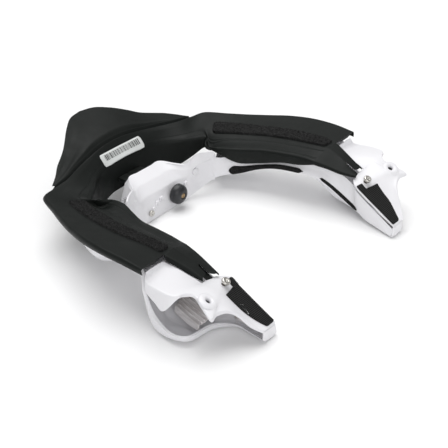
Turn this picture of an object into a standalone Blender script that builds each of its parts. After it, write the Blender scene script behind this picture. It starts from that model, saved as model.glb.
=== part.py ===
"""Rigid neck brace (cervical collar), rear frame, lying with its body side up.

The frame is a U around the neck. +X is the right arm, -Y the open front and +Y the rear.
Every section below is written for the right half, in millimetres, with y measured from the
front screws and z from the surface that the brace lies on. SHIFT_Y moves the whole brace so
that its origin is the middle of its footprint.
"""
import math

import bmesh
import bpy
from mathutils import Matrix, Vector

MM = 0.001
SHIFT_Y = -94.8
GAP = 0.35              # clearance between parts that touch
FRAME_WALL = 2.5        # thickness of the black frame
CHASSIS_WALL = 2.4      # thickness of the white mouldings
STRIP_WALL = 1.5        # thickness of the hook strips
STEPS = 2               # facets between two sections

# Black upper frame, flange front to rear centre. Each section runs from the outside to the
# neck: lip foot, lip side, outer edge, strip edges, valley, rim, foot of the neck wall.
FRAME_SECTIONS = [
    [(129.2, 37.2, 45.4), (129.8, 37.4, 47.8), (129.1, 37.6, 50.3), (106.0, 39.0, 49.0),
     (94.7, 40.0, 48.3), (86.0, 41.0, 45.2), (77.6, 42.5, 42.0), (77.8, 42.0, 39.0)],
    [(129.7, 55.0, 46.8), (130.3, 55.0, 49.2), (129.0, 55.0, 51.8), (105.6, 56.0, 49.6),
     (93.4, 57.0, 47.0), (84.0, 56.5, 44.4), (76.0, 56.0, 42.8), (76.2, 55.0, 35.4)],
    [(128.7, 76.0, 46.4), (129.3, 76.0, 48.8), (128.0, 76.0, 51.4), (105.0, 76.0, 48.2),
     (91.5, 76.0, 45.4), (81.0, 74.5, 43.0), (73.6, 72.0, 41.8), (73.8, 71.5, 33.0)],
    [(124.7, 96.6, 44.6), (125.3, 96.7, 47.0), (124.0, 96.4, 49.6), (102.2, 98.0, 46.0),
     (88.6, 96.0, 43.4), (78.0, 93.5, 40.6), (70.3, 90.0, 40.0), (70.5, 89.5, 28.0)],
    [(118.1, 115.6, 42.2), (118.7, 115.8, 44.6), (117.4, 115.2, 47.2), (97.8, 119.0, 43.8),
     (83.5, 115.0, 41.0), (73.0, 110.5, 37.6), (63.4, 106.0, 38.6), (63.6, 106.5, 25.5)],
    [(111.1, 132.2, 40.6), (111.7, 132.4, 43.0), (110.4, 131.6, 45.6), (93.0, 136.0, 42.4),
     (79.0, 130.5, 39.0), (68.0, 127.0, 33.5), (57.2, 121.0, 37.8), (57.4, 119.5, 31.0)],
    [(103.5, 148.6, 39.8), (104.1, 148.8, 42.2), (102.8, 148.0, 44.7), (87.5, 151.0, 41.2),
     (74.5, 143.0, 37.6), (65.0, 138.5, 28.0), (56.4, 134.7, 35.8), (56.8, 132.0, 33.2)],
    [(94.7, 167.4, 39.0), (95.5, 167.8, 41.2), (94.4, 166.6, 43.6), (84.5, 161.0, 40.8),
     (76.0, 153.0, 38.2), (71.5, 148.0, 37.3), (67.0, 143.5, 36.6), (64.5, 143.5, 28.0)],
    [(81.6, 176.2, 36.0), (81.8, 172.4, 38.8), (81.4, 170.6, 43.4), (77.0, 166.0, 41.2),
     (70.0, 159.0, 38.6), (65.5, 154.0, 37.4), (61.0, 149.5, 36.2), (57.5, 150.5, 20.5)],
    [(67.5, 181.5, 38.5), (66.3, 173.6, 40.0), (66.0, 172.3, 44.2), (62.5, 168.0, 42.2),
     (58.0, 162.5, 39.2), (55.0, 159.0, 37.2), (52.0, 156.0, 35.8), (46.5, 158.0, 13.5)],
    [(48.5, 188.5, 41.0), (46.3, 180.6, 41.0), (46.0, 179.3, 44.7), (44.0, 175.5, 42.6),
     (41.8, 171.5, 39.2), (40.2, 169.0, 37.0), (38.5, 167.0, 34.6), (36.0, 163.5, 13.0)],
    [(29.6, 192.5, 44.0), (28.7, 184.6, 42.8), (28.6, 183.3, 46.2), (27.4, 180.5, 44.2),
     (26.0, 177.2, 41.2), (24.5, 174.8, 38.4), (23.0, 173.0, 35.4), (22.0, 168.5, 13.0)],
    [(12.2, 193.4, 46.5), (12.0, 186.2, 44.8), (12.0, 184.8, 48.3), (12.0, 182.6, 46.2),
     (11.9, 178.6, 42.2), (11.8, 175.4, 38.8), (11.6, 172.4, 35.5), (11.2, 169.6, 13.0)],
    [(0.0, 193.6, 47.0), (0.0, 186.6, 45.3), (0.0, 185.2, 48.9), (0.0, 183.0, 46.8),
     (0.0, 178.8, 42.5), (0.0, 175.4, 39.0), (0.0, 172.0, 35.6), (0.0, 169.8, 13.0)],
]

# Black arm in front of the flange: foot of its outer side, then strip edge to wall foot.
ARM_SECTIONS = [
    [(99.9, 10.2, 36.3), (99.2, 10.8, 38.2), (92.3, 13.4, 38.2), (89.2, 10.3, 37.6),
     (86.2, 7.3, 37.0), (86.0, 7.6, 35.2)],
    [(101.9, 18.6, 38.6), (100.8, 19.6, 42.0), (92.2, 20.6, 42.0), (87.0, 20.2, 40.2),
     (82.1, 20.0, 38.2), (82.3, 19.6, 36.0)],
    [(103.6, 28.0, 41.6), (103.4, 29.8, 46.0), (93.6, 30.6, 45.4), (86.0, 30.8, 43.0),
     (79.8, 31.0, 40.6), (80.0, 30.4, 38.0)],
    [(105.0, 37.4, 44.0)] + FRAME_SECTIONS[0][3:],
]

# Tail lobe behind the band, centre to side: outline, middle, inner edge.
LOBE_SECTIONS = [
    [(0.0, 224.0, 59.8), (0.0, 205.0, 55.8), (0.0, 186.0, 50.6)],
    [(13.5, 221.0, 59.4), (12.5, 204.0, 55.2), (12.0, 185.7, 50.0)],
    [(26.0, 212.8, 57.4), (24.6, 199.5, 53.0), (23.0, 185.1, 48.6)],
    [(36.0, 204.6, 54.4), (34.6, 194.5, 50.4), (33.0, 183.4, 47.0)],
    [(44.0, 198.4, 51.2), (43.0, 190.0, 48.6), (42.0, 181.2, 46.2)],
    [(53.0, 192.4, 49.2), (52.8, 185.0, 47.0), (52.0, 178.2, 45.6)],
    [(62.4, 186.4, 47.4), (62.4, 180.0, 45.8), (62.0, 174.6, 45.2)],
    [(71.0, 179.4, 45.4), (72.0, 176.0, 44.6), (72.0, 172.7, 44.4)],
    [(79.4, 174.4, 42.6), (79.2, 173.4, 43.0), (79.0, 172.2, 43.4)],
]

# White chassis half, arm tip to rear: wall top, wall bend, bottom edge, then outwards under
# the wing, the shoulder arch and the rear pod to the shell's outer rim.
CHASSIS_SECTIONS = [
    [(77.8, -33.4, 7.2), (77.2, -33.0, 5.0), (76.0, -32.4, 1.2), (80.0, -33.2, 0.4),
     (84.0, -33.6, 0.4), (87.0, -33.6, 0.8), (89.6, -33.6, 1.6), (91.4, -33.6, 3.2)],
    [(78.2, -20.0, 14.8), (78.4, -20.0, 10.0), (78.6, -19.6, 2.6), (81.5, -19.8, 0.8),
     (84.0, -20.0, 0.4), (86.4, -20.2, 0.8), (88.6, -20.6, 1.6), (90.6, -21.0, 3.6)],
    [(78.8, -5.0, 23.2), (79.8, -5.0, 15.0), (81.2, -5.0, 5.8), (83.6, -6.0, 2.0),
     (86.0, -7.2, 0.8), (88.0, -8.4, 1.0), (90.0, -9.6, 2.4), (91.4, -10.6, 5.2)],
    [(79.8, 3.0, 27.8), (81.0, 3.0, 18.0), (82.8, 2.0, 7.8), (87.0, 1.6, 3.4),
     (93.0, 1.6, 1.2), (98.0, 1.4, 1.0), (102.0, 0.8, 2.4), (105.0, -1.0, 8.0)],
    [(84.2, 9.0, 29.6), (83.6, 8.6, 21.0), (83.0, 7.0, 9.6), (90.0, 6.6, 3.6),
     (101.0, 6.2, 1.2), (113.0, 5.4, 0.8), (121.4, 4.0, 2.4), (124.4, 2.2, 8.6)],
    [(85.4, 19.0, 34.0), (84.6, 18.8, 26.0), (82.2, 18.5, 16.0), (90.0, 18.2, 6.0),
     (102.0, 17.8, 1.6), (116.0, 17.2, 0.8), (127.4, 15.6, 2.2), (129.8, 13.6, 9.0)],
    [(83.2, 28.0, 36.0), (82.8, 28.0, 31.0), (80.4, 28.0, 22.4), (90.0, 29.0, 9.0),
     (103.0, 30.0, 2.6), (117.0, 30.6, 1.4), (127.2, 30.4, 4.0), (129.2, 28.4, 15.0)],
    [(82.2, 37.0, 37.2), (81.8, 37.0, 33.0), (79.0, 36.5, 26.8), (91.0, 38.5, 13.0),
     (104.0, 40.0, 8.0), (115.0, 40.4, 9.4), (124.4, 39.8, 17.0), (127.6, 38.6, 30.0)],
    [(81.2, 43.0, 37.4), (80.8, 43.0, 33.2), (78.2, 42.5, 27.2), (91.0, 46.0, 20.0),
     (104.0, 47.0, 18.0), (114.0, 46.6, 23.0), (120.6, 45.4, 33.0), (122.6, 44.4, 43.8)],
    [(79.8, 52.0, 37.8), (79.4, 52.0, 33.5), (76.6, 51.0, 27.8), (89.0, 54.0, 29.5),
     (101.0, 56.0, 32.0), (110.0, 56.0, 35.5), (117.0, 55.0, 39.5), (121.4, 54.0, 44.0)],
    [(77.4, 73.0, 36.8), (77.2, 72.5, 31.5), (73.4, 72.0, 26.6), (85.0, 75.0, 29.5),
     (96.0, 76.0, 32.0), (105.0, 76.0, 35.0), (113.0, 76.0, 38.5), (119.0, 76.0, 43.0)],
    [(74.0, 90.0, 35.4), (73.8, 89.5, 27.4), (70.2, 89.0, 22.4), (80.0, 92.0, 18.5),
     (91.0, 94.0, 16.5), (102.0, 95.6, 18.0), (111.0, 96.6, 26.0), (116.0, 95.0, 41.0)],
    [(68.4, 105.0, 32.8), (67.6, 105.0, 24.8), (64.2, 105.0, 15.6), (74.0, 109.0, 11.0),
     (86.0, 112.0, 8.6), (97.0, 113.4, 12.5), (105.0, 114.4, 23.6), (109.6, 113.0, 38.6)],
    [(63.0, 116.0, 28.8), (61.8, 115.5, 25.0), (58.6, 115.6, 12.6), (68.0, 122.0, 11.4),
     (80.0, 127.0, 10.6), (90.0, 129.0, 15.4), (97.0, 130.5, 24.0), (102.5, 129.4, 37.0)],
    [(55.8, 122.6, 28.6), (54.8, 122.4, 22.0), (52.4, 122.4, 9.6), (61.0, 131.0, 13.0),
     (72.0, 138.0, 14.0), (82.0, 142.5, 20.0), (90.0, 144.5, 28.0), (95.0, 144.6, 36.0)],
]

# White rear ring wall, side to centre: top edge, recess ledge, recess, lip, bottom edge.
RING_SECTIONS = [
    [(51.6, 122.9, 35.3), (51.4, 123.4, 28.9), (52.0, 124.6, 28.2), (51.6, 125.2, 12.5),
     (51.0, 123.8, 9.4)],
    [(45.0, 125.4, 36.2), (44.8, 126.0, 29.0), (45.2, 127.4, 28.2), (45.0, 127.8, 11.0),
     (44.2, 126.2, 6.8)],
    [(37.8, 127.4, 36.6), (37.8, 127.8, 28.6), (38.0, 129.2, 27.6), (38.0, 129.4, 9.0),
     (37.6, 127.8, 4.2)],
    [(30.0, 130.6, 27.6), (30.0, 129.8, 22.0), (30.0, 130.2, 19.0), (30.0, 129.8, 7.0),
     (30.0, 128.6, 2.4)],
    [(20.0, 131.2, 21.0), (20.0, 130.6, 17.0), (20.0, 130.2, 13.0), (20.0, 129.8, 6.0),
     (20.0, 129.2, 0.5)],
    [(8.0, 131.4, 20.0), (8.0, 131.0, 16.0), (8.0, 130.6, 12.0), (8.0, 130.2, 6.0),
     (8.0, 129.8, 0.2)],
    [(0.0, 131.4, 20.0), (0.0, 131.0, 16.0), (0.0, 130.6, 12.0), (0.0, 130.2, 6.0),
     (0.0, 129.8, 0.2)],
]

# White rear block, its wing and its straight part: its face from the rear top edge to the foot.
BLOCK_SECTIONS = [
    [(35.0, 143.5, 28.0), (35.0, 138.0, 24.6), (35.0, 133.5, 19.6), (35.0, 131.2, 12.5)],
    [(18.0, 153.4, 31.2), (18.6, 142.5, 26.2), (19.0, 134.6, 19.6), (19.0, 131.6, 12.5)],
]

# White front plate, flange to tip: inner edge, strip edge, body, outer edge, foot of its skirt.
PLATE_SECTIONS = [
    [(106.6, 38.8, 44.2), (113.0, 38.4, 45.2), (119.5, 37.8, 45.6), (125.4, 37.4, 45.8),
     (126.2, 37.8, 38.0)],
    [(104.8, 35.8, 42.4), (112.0, 35.9, 41.8), (122.0, 35.6, 41.2), (128.6, 34.8, 40.6),
     (128.0, 36.0, 32.8)],
    [(104.2, 27.0, 41.4), (112.0, 26.5, 41.6), (122.0, 25.0, 41.6), (130.6, 22.0, 41.2),
     (130.6, 25.6, 29.4)],
    [(102.8, 18.2, 38.8), (111.0, 17.0, 40.8), (121.0, 15.0, 41.5), (130.6, 11.6, 41.4),
     (131.6, 17.6, 27.0)],
    [(102.0, 14.0, 37.6), (109.5, 13.4, 40.0), (119.0, 11.6, 41.4), (128.0, 8.2, 41.4),
     (128.2, 7.8, 39.0)],
    [(100.8, 9.4, 35.4), (107.5, 9.6, 38.8), (115.5, 8.8, 41.0), (123.8, 6.6, 41.4),
     (124.0, 6.2, 39.0)],
    [(94.0, 12.6, 33.8), (102.0, 7.0, 37.0), (110.0, 4.4, 39.8), (119.0, 2.0, 40.0),
     (119.3, 1.8, 37.8)],
    [(85.0, 9.0, 33.4), (97.0, 3.6, 35.4), (109.0, -1.4, 38.6), (121.0, -6.0, 36.6),
     (121.4, -5.9, 34.4)],
    [(79.2, 3.2, 32.2), (94.0, -0.6, 33.2), (109.0, -7.6, 36.8), (124.2, -16.2, 31.8),
     (124.5, -16.6, 30.0)],
    [(78.6, -4.0, 27.8), (93.2, -4.8, 29.6), (104.0, -9.4, 33.6), (116.4, -14.6, 31.6),
     (116.5, -15.2, 29.4)],
    [(78.3, -12.0, 23.2), (92.6, -12.4, 24.2), (100.5, -14.6, 27.8), (108.0, -17.2, 30.2),
     (108.4, -17.7, 28.0)],
    [(78.1, -19.0, 19.2), (92.0, -19.6, 20.0), (97.5, -20.4, 22.4), (102.4, -21.6, 25.4),
     (103.0, -22.0, 23.4)],
    [(78.0, -27.0, 14.6), (88.5, -27.3, 15.0), (93.5, -27.6, 15.8), (97.6, -28.0, 17.4),
     (98.3, -28.1, 15.6)],
    [(77.8, -34.0, 10.6), (84.5, -34.4, 10.8), (88.5, -34.4, 11.0), (91.6, -34.4, 11.4),
     (92.2, -34.4, 9.8)],
]

# Ribbed socket liner in the wing, rear to front: from the neck side out to its turned edge.
SOCKET_SECTIONS = [
    [(89.0, 31.0, 19.0), (97.0, 31.0, 14.6), (104.0, 30.0, 12.0), (107.0, 29.0, 12.8), (108.4, 28.6, 8.4)],
    [(89.6, 16.0, 15.4), (99.0, 16.0, 12.0), (107.4, 15.5, 10.4), (110.0, 15.0, 11.4), (111.4, 14.6, 6.6)],
    [(90.0, 4.0, 12.4), (101.0, 4.0, 10.8), (109.0, 4.0, 9.8), (112.0, 4.0, 10.8), (113.2, 4.0, 6.6)],
]
TIP_LINER_SECTIONS = [
    [(86.2, -6.0, 14.6), (87.2, -6.6, 8.6), (88.4, -7.6, 8.2)],
    [(83.6, -20.0, 11.4), (85.0, -20.4, 6.8), (87.0, -20.8, 6.5)],
    [(82.0, -30.6, 7.8), (83.4, -31.0, 6.0), (87.0, -31.6, 5.8)],
]

# Fastenings. The front screws stand square to the plate's slope, the lobe and frame screws
# come up from below, and the rear pair sits low in the ring wall: left of centre a plain
# screw, and right of centre the pin that the round knob turns on.
FRONT_SCREW_AT = (89.6, -0.4, 34.6)
FRONT_SCREW_AXIS = (-0.10, -0.47, 0.88)
FRONT_SCREW_RADIUS = 1.5
FRONT_HEAD_RADIUS = 3.1
ACCESS_HOLE_AT = (115.0, -6.6, 36.6)
ACCESS_HOLE_AXIS = (-0.18, -0.42, 0.89)
ACCESS_HOLE_RADIUS = 1.8
ACCESS_BUSH_RADIUS = 5.2
REAR_SCREW_AT = (-19.1, 129.2, 7.4)
REAR_PIN_RADIUS = 1.6
KNOB_AT = (10.8, 129.2, 12.7)   # middle of its back
KNOB_RADIUS = 8.3
KNOB_SEAT = 6.2         # height of the seat that the pin's head holds down
KNOB_DOME = 8.0         # height of the domed face
PIN_HEAD_RADIUS = 2.2
PIN_HEAD_HEIGHT = 1.4
RUNNING_FIT = 0.05
INSERT_RADIUS = 2.9
INSERT_LENGTH = 3.6
INSERT_SETBACK = 4.6    # from the ring's face to the insert behind it
NECKWARD = (0.0, -1.0, 0.0)
FRAME_SCREW_RADIUS = 1.5
# across, along, floor height and flange height at each screw between chassis and frame
FRAME_SCREWS_AT = [(100.0, 59.0, 32.4, 45.8), (98.0, 75.0, 32.6, 44.4)]
# across, along and tongue height at each screw of the tail lobe
LOBE_SCREWS_AT = [(0.0, 190.4, 43.6), (46.0, 185.2, 39.6), (-46.0, 185.2, 39.6)]
LOBE_SCREW_REACH = 5.6
LINER_WALL = 1.6
SLOT_AT = (92.1, 16.0, 40.0)
SLOT_WIDTH = 1.8
SLOT_LENGTH = 9.0
LABEL_HALF_WIDTH = 23.5
LABEL_WALL = 0.4


def collection(name):
    """A new collection under the scene."""
    made = bpy.data.collections.new(name)
    bpy.context.scene.collection.children.link(made)
    return made


def material(name, colour, roughness, metallic=0.0):
    made = bpy.data.materials.new(name)
    made.use_nodes = True
    shader = made.node_tree.nodes["Principled BSDF"]
    shader.inputs["Base Color"].default_value = (*colour, 1.0)
    shader.inputs["Roughness"].default_value = roughness
    shader.inputs["Metallic"].default_value = metallic
    return made


def place(point):
    """A design point, in millimetres, as a world point in metres."""
    return Vector((point[0], point[1] + SHIFT_Y, point[2])) * MM


def curve_through(points, steps):
    """Points along a Catmull-Rom curve through the given points, with steps per span."""
    points = [Vector(p) for p in points]
    ends = [2 * points[0] - points[1]] + points + [2 * points[-1] - points[-2]]
    result = []
    for a, b, c, d in zip(ends, ends[1:], ends[2:], ends[3:]):
        for step in range(steps):
            t = step / steps
            result.append(0.5 * (2 * b + (c - a) * t + (2 * a - 5 * b + 4 * c - d) * t * t
                                 + (3 * b - a - 3 * c + d) * t ** 3))
    return result + [points[-1]]


def surface(sections, steps=STEPS):
    """Rows of points, one row per facet line, smooth along the sections' rails."""
    rails = [curve_through(rail, steps) for rail in zip(*sections)]
    return [list(row) for row in zip(*rails)]


def grid_faces(mesh, rows, flip=False):
    """Join neighbouring rows of points with quads and return the new vertices by row."""
    lines = [[mesh.verts.new(place(p)) for p in row] for row in rows]
    for near, far in zip(lines, lines[1:]):
        for i in range(len(near) - 1):
            quad = [near[i], far[i], far[i + 1], near[i + 1]]
            mesh.faces.new(reversed(quad) if flip else quad)
    return lines


def add_object(name, mesh, finish, group):
    """Turn a bmesh into a named object in its collection."""
    data = bpy.data.meshes.new(name)
    bmesh.ops.remove_doubles(mesh, verts=mesh.verts, dist=0.00001)
    mesh.to_mesh(data)
    mesh.free()
    data.materials.append(finish)
    made = bpy.data.objects.new(name, data)
    group.objects.link(made)
    return made


def thicken(target, thickness, offset=-1.0, even=True):
    """Give a sheet its wall; an even wall keeps its thickness round sharp bends."""
    shell = target.modifiers.new("wall", "SOLIDIFY")
    shell.thickness = thickness * MM
    shell.offset = offset
    shell.use_even_offset = even
    shell.thickness_clamp = 1.0


def mirror_halves(target):
    """Complete a half that is open at the plane x = 0."""
    mirror = target.modifiers.new("both_halves", "MIRROR")
    mirror.use_axis[0] = True
    mirror.merge_threshold = 0.0001


def mirrored_rows(rows):
    return [[Vector((-p[0], p[1], p[2])) for p in row] for row in rows]


def lifted(rows, height):
    """The same rows moved along their own surface normals."""
    result = []
    last_row = len(rows) - 1
    last = len(rows[0]) - 1
    for r, row in enumerate(rows):
        line = []
        for i, point in enumerate(row):
            along = rows[min(r + 1, last_row)][i] - rows[max(r - 1, 0)][i]
            across = row[min(i + 1, last)] - row[max(i - 1, 0)]
            normal = along.cross(across).normalized()
            line.append(point + normal * height)
        result.append(line)
    return result


def blend(a, b, t):
    return a + (b - a) * t


def between(rows, first, second, fractions):
    """New rows that lie between two rails, at the given fractions of the way across."""
    return [[blend(row[first], row[second], f) for f in fractions] for row in rows]


def shell_pair(name, rows, thickness, finish, group, offset=-1.0):
    """A right and a left shell from one set of rows."""
    made = []
    for side, flip in (("right", False), ("left", True)):
        mesh = bmesh.new()
        grid_faces(mesh, mirrored_rows(rows) if flip else rows, flip)
        piece = add_object(f"{name}_{side}", mesh, finish, group)
        thicken(piece, thickness, offset)
        made.append(piece)
    return made


def lathe(name, profile, at, axis, finish, group, sides=20):
    """A turned piece: profile points (radius, height) from the top down, about its axis."""
    mesh = bmesh.new()
    points = [mesh.verts.new((radius * MM, 0.0, height * MM)) for radius, height in profile]
    for a, b in zip(points, points[1:]):
        mesh.edges.new((a, b))
    piece = add_object(name, mesh, finish, group)
    piece.location = place(at)
    piece.rotation_euler = Vector(axis).to_track_quat("Z", "Y").to_euler()
    turn = piece.modifiers.new("turn", "SCREW")
    turn.steps = sides
    turn.render_steps = sides
    turn.use_merge_vertices = True
    turn.merge_threshold = 0.00001
    turn.use_normal_calculate = False
    return piece


def cutter(piece, group):
    piece.hide_render = True
    piece.display_type = "WIRE"
    for old in list(piece.users_collection):
        old.objects.unlink(piece)
    group.objects.link(piece)
    return piece


def cut(target, tool):
    hole = target.modifiers.new("cut", "BOOLEAN")
    hole.object = tool
    hole.operation = "DIFFERENCE"
    hole.solver = "EXACT"


def join(target, tool):
    union = target.modifiers.new("join", "BOOLEAN")
    union.object = tool
    union.operation = "UNION"
    union.solver = "EXACT"


def build_upper_frame(finish, group, cutters):
    """One moulding: band, flange with its lip, neck wall and the two arms."""
    mesh = bmesh.new()
    grid_faces(mesh, surface(FRAME_SECTIONS))
    grid_faces(mesh, surface(ARM_SECTIONS))
    frame = add_object("upper_frame", mesh, finish, group)
    mirror_halves(frame)
    thicken(frame, FRAME_WALL, even=False)
    for side in (1, -1):
        slot = box("arm_slot", (SLOT_WIDTH, SLOT_LENGTH, 16.0), (side * SLOT_AT[0], *SLOT_AT[1:]), finish)
        cut(frame, cutter(slot, cutters))
    return frame


def build_tail_lobe(finish, group):
    mesh = bmesh.new()
    grid_faces(mesh, surface(LOBE_SECTIONS))
    lobe = add_object("tail_lobe", mesh, finish, group)
    mirror_halves(lobe)
    thicken(lobe, FRAME_WALL)


def box(name, size, centre, finish):
    mesh = bmesh.new()
    bmesh.ops.create_cube(mesh, size=1.0)
    bmesh.ops.scale(mesh, vec=Vector(size) * MM, verts=mesh.verts)
    made = add_object(name, mesh, finish, bpy.context.scene.collection)
    made.location = place(centre)
    return made


def rod(name, radius, length, at, axis, finish, sides=20):
    """A plain round bar, centred on a point and lying along an axis."""
    mesh = bmesh.new()
    bmesh.ops.create_cone(mesh, cap_ends=True, segments=sides, radius1=radius * MM,
                          radius2=radius * MM, depth=length * MM)
    made = add_object(name, mesh, finish, bpy.context.scene.collection)
    made.location = place(at)
    made.rotation_euler = Vector(axis).to_track_quat("Z", "Y").to_euler()
    return made


def move_to(piece, group):
    for old in list(piece.users_collection):
        old.objects.unlink(piece)
    group.objects.link(piece)
    return piece


def build_front_plates(finish, group, cutters):
    """The plate over each wing, with the screw's hole and the boss's access hole."""
    plates = shell_pair("front_plate", surface(PLATE_SECTIONS), CHASSIS_WALL, finish, group)
    for plate, side in zip(plates, (1, -1)):
        for at, axis, radius in ((FRONT_SCREW_AT, FRONT_SCREW_AXIS, FRONT_SCREW_RADIUS + GAP),
                                 (ACCESS_HOLE_AT, ACCESS_HOLE_AXIS, ACCESS_BUSH_RADIUS + GAP)):
            centre = (side * at[0], at[1], at[2])
            drill = rod("plate_drill", radius, 14.0, centre, (side * axis[0], *axis[1:]), finish)
            cut(plate, cutter(drill, cutters))


def build_access_bushes(finish, group):
    """The round bush in each plate, with a flat face and a hole for the front half's peg."""
    for side, name in ((1, "right"), (-1, "left")):
        axis = Vector((side * ACCESS_HOLE_AXIS[0], *ACCESS_HOLE_AXIS[1:])).normalized()
        top = Vector((side * ACCESS_HOLE_AT[0], *ACCESS_HOLE_AT[1:])) + axis * 0.9
        profile = tube_profile(ACCESS_BUSH_RADIUS, ACCESS_HOLE_RADIUS, 4.4)
        lathe(f"access_bush_{name}", profile, top, axis, finish, group, sides=24)


def prism(name, sections, finish, group):
    """A closed solid through polygons with equal numbers of corners."""
    mesh = bmesh.new()
    loops = [[mesh.verts.new(place(p)) for p in section] for section in sections]
    count = len(loops[0])
    for near, far in zip(loops, loops[1:]):
        for i in range(count):
            j = (i + 1) % count
            mesh.faces.new([near[i], near[j], far[j], far[i]])
    mesh.faces.new(reversed(loops[0]))
    mesh.faces.new(loops[-1])
    bmesh.ops.recalc_face_normals(mesh, faces=mesh.faces)
    return add_object(name, mesh, finish, group)


def block_profile(section, inset):
    """A block section closed at its rear, drawn in by the inset for the hollow."""
    x = section[0][0]
    face = [(x, p[1] + inset, p[2] - inset) for p in section]
    rear = section[0][1] + 6.0 * (1 if inset else 0)
    foot = face[-1][2] - 6.0 * (1 if inset else 0)
    return [(x, rear, face[0][2])] + face[1:-1] + [(x, face[-1][1], foot), (x, rear, foot)]


def build_rear_yoke(finish, group, cutters):
    """The ring's rear wall with the hollow block that stands behind its middle."""
    mesh = bmesh.new()
    grid_faces(mesh, surface(RING_SECTIONS))
    ring = add_object("rear_yoke", mesh, finish, group)
    mirror_halves(ring)
    thicken(ring, CHASSIS_WALL)
    whole = BLOCK_SECTIONS + [[(-x, y, z) for x, y, z in section] for section in reversed(BLOCK_SECTIONS)]
    block = prism("block_body", [block_profile(section, 0.0) for section in whole], finish, group)
    hollow_sections = []
    for section, edge in zip(whole, (-CHASSIS_WALL, 0.0, 0.0, CHASSIS_WALL)):
        profile = block_profile(section, CHASSIS_WALL)
        hollow_sections.append([(x + edge, y, z) for x, y, z in profile])
    hollow = prism("block_hollow", hollow_sections, finish, group)
    cut(block, cutter(hollow, cutters))
    join(ring, cutter(block, cutters))
    for at in (KNOB_AT, REAR_SCREW_AT):
        cut(ring, cutter(rod("pin_drill", REAR_PIN_RADIUS + GAP, 14.0, at, NECKWARD, finish), cutters))
    behind = Vector(KNOB_AT) - Vector(NECKWARD) * (INSERT_SETBACK + INSERT_LENGTH / 2)
    pocket = rod("insert_pocket", INSERT_RADIUS + GAP, INSERT_LENGTH + 2 * GAP, behind, NECKWARD, finish)
    cut(ring, cutter(pocket, cutters))


def build_rear_bracket(finish, group):
    """The bridge under the block that ties the yoke to the black rear wall."""
    move_to(box("rear_bracket", (26.0, 20.0, 2.4), (0.0, 160.0, 22.0), finish), group)


def strip_pair(name, rows, finish, group):
    shell_pair(name, lifted(rows, GAP), STRIP_WALL, finish, group, offset=1.0)


def tip_strip_rows(plate):
    """The tip strip starts narrow, beside the front screw, and widens in front of it."""
    narrow = between(plate[8 * STEPS:9 * STEPS], 0, 1, (0.03, 0.22, 0.42))
    wide = between(plate[9 * STEPS:13 * STEPS], 0, 1, (0.03, 0.5, 0.97))
    return narrow + wide


def build_hook_strips(finish, group):
    """Hook tape where the removable pads fasten."""
    band = surface(FRAME_SECTIONS)
    strip_pair("flange_hook_strip", between(band[1:6 * STEPS + 1], 3, 4, (0.04, 0.5, 0.96)), finish, group)
    wall = surface(CHASSIS_SECTIONS)
    strip_pair("ring_hook_strip", between(wall[9 * STEPS:12 * STEPS + 1], 1, 2, (0.3, 0.96)), finish, group)
    strip_pair("arm_hook_strip", between(wall[3 * STEPS:7 * STEPS + 1], 1, 2, (0.62, 0.96)), finish, group)
    strip_pair("tip_hook_strip", tip_strip_rows(surface(PLATE_SECTIONS)), finish, group)


def build_label(finish, group):
    """The rating label, a thin sheet on the sloping rear band."""
    band = [row for row in surface(FRAME_SECTIONS) if row[3].x <= LABEL_HALF_WIDTH + 4.0]
    sheet = [[blend(row[3], row[4], 0.04), row[4], row[5], blend(row[5], row[6], 0.5)] for row in band]
    rows = lifted(sheet, GAP)
    mesh = bmesh.new()
    grid_faces(mesh, rows)
    label = add_object("rating_label", mesh, finish, group)
    mirror_halves(label)
    thicken(label, LABEL_WALL, 1.0)


def screw_profile(head_radius, head_height, shank_radius, length, socket_radius):
    """Socket head and shank, from the middle of the socket round to the shank's end."""
    depth = head_height * 0.6
    return [(0.0, head_height - depth), (socket_radius, head_height - depth),
            (socket_radius, head_height), (head_radius * 0.82, head_height),
            (head_radius, head_height * 0.55), (head_radius, 0.0), (shank_radius, 0.0),
            (shank_radius, -length), (0.0, -length)]


def tube_profile(outer, inner, height, top=0.0):
    return [(inner, top), (outer, top), (outer, top - height), (inner, top - height), (inner, top)]


def build_front_screws(steel, brass, group):
    """A screw through each plate into a threaded insert below it."""
    for side, name in ((1, "right"), (-1, "left")):
        at = (side * FRONT_SCREW_AT[0], *FRONT_SCREW_AT[1:])
        axis = Vector((side * FRONT_SCREW_AXIS[0], *FRONT_SCREW_AXIS[1:])).normalized()
        head = screw_profile(FRONT_HEAD_RADIUS, 2.0, FRONT_SCREW_RADIUS, 11.0, 1.4)
        seat = Vector(at) + axis * 0.9
        lathe(f"front_screw_{name}", head, seat, axis, steel, group)
        below = Vector(at) - axis * 5.4
        lathe(f"front_insert_{name}", tube_profile(3.0, FRONT_SCREW_RADIUS + GAP, 5.5), below, axis,
              brass, group)


def build_rear_fixings(steel, brass, group):
    """The plain rear screw and the knob's pin, each in a threaded insert behind the ring."""
    screw = screw_profile(2.6, 1.6, REAR_PIN_RADIUS, 9.0, 1.2)
    lathe("rear_screw", screw, REAR_SCREW_AT, NECKWARD, steel, group)
    pin = screw_profile(PIN_HEAD_RADIUS, PIN_HEAD_HEIGHT, REAR_PIN_RADIUS, 13.0, 1.1)
    seat = Vector(KNOB_AT) + Vector(NECKWARD) * (KNOB_SEAT + GAP)
    lathe("knob_pin", pin, seat, NECKWARD, brass, group)
    sleeve = tube_profile(INSERT_RADIUS, REAR_PIN_RADIUS + GAP, INSERT_LENGTH)
    for name, at in (("right", KNOB_AT), ("left", REAR_SCREW_AT)):
        behind = Vector(at) - Vector(NECKWARD) * INSERT_SETBACK
        lathe(f"rear_insert_{name}", sleeve, behind, NECKWARD, brass, group)


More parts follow.
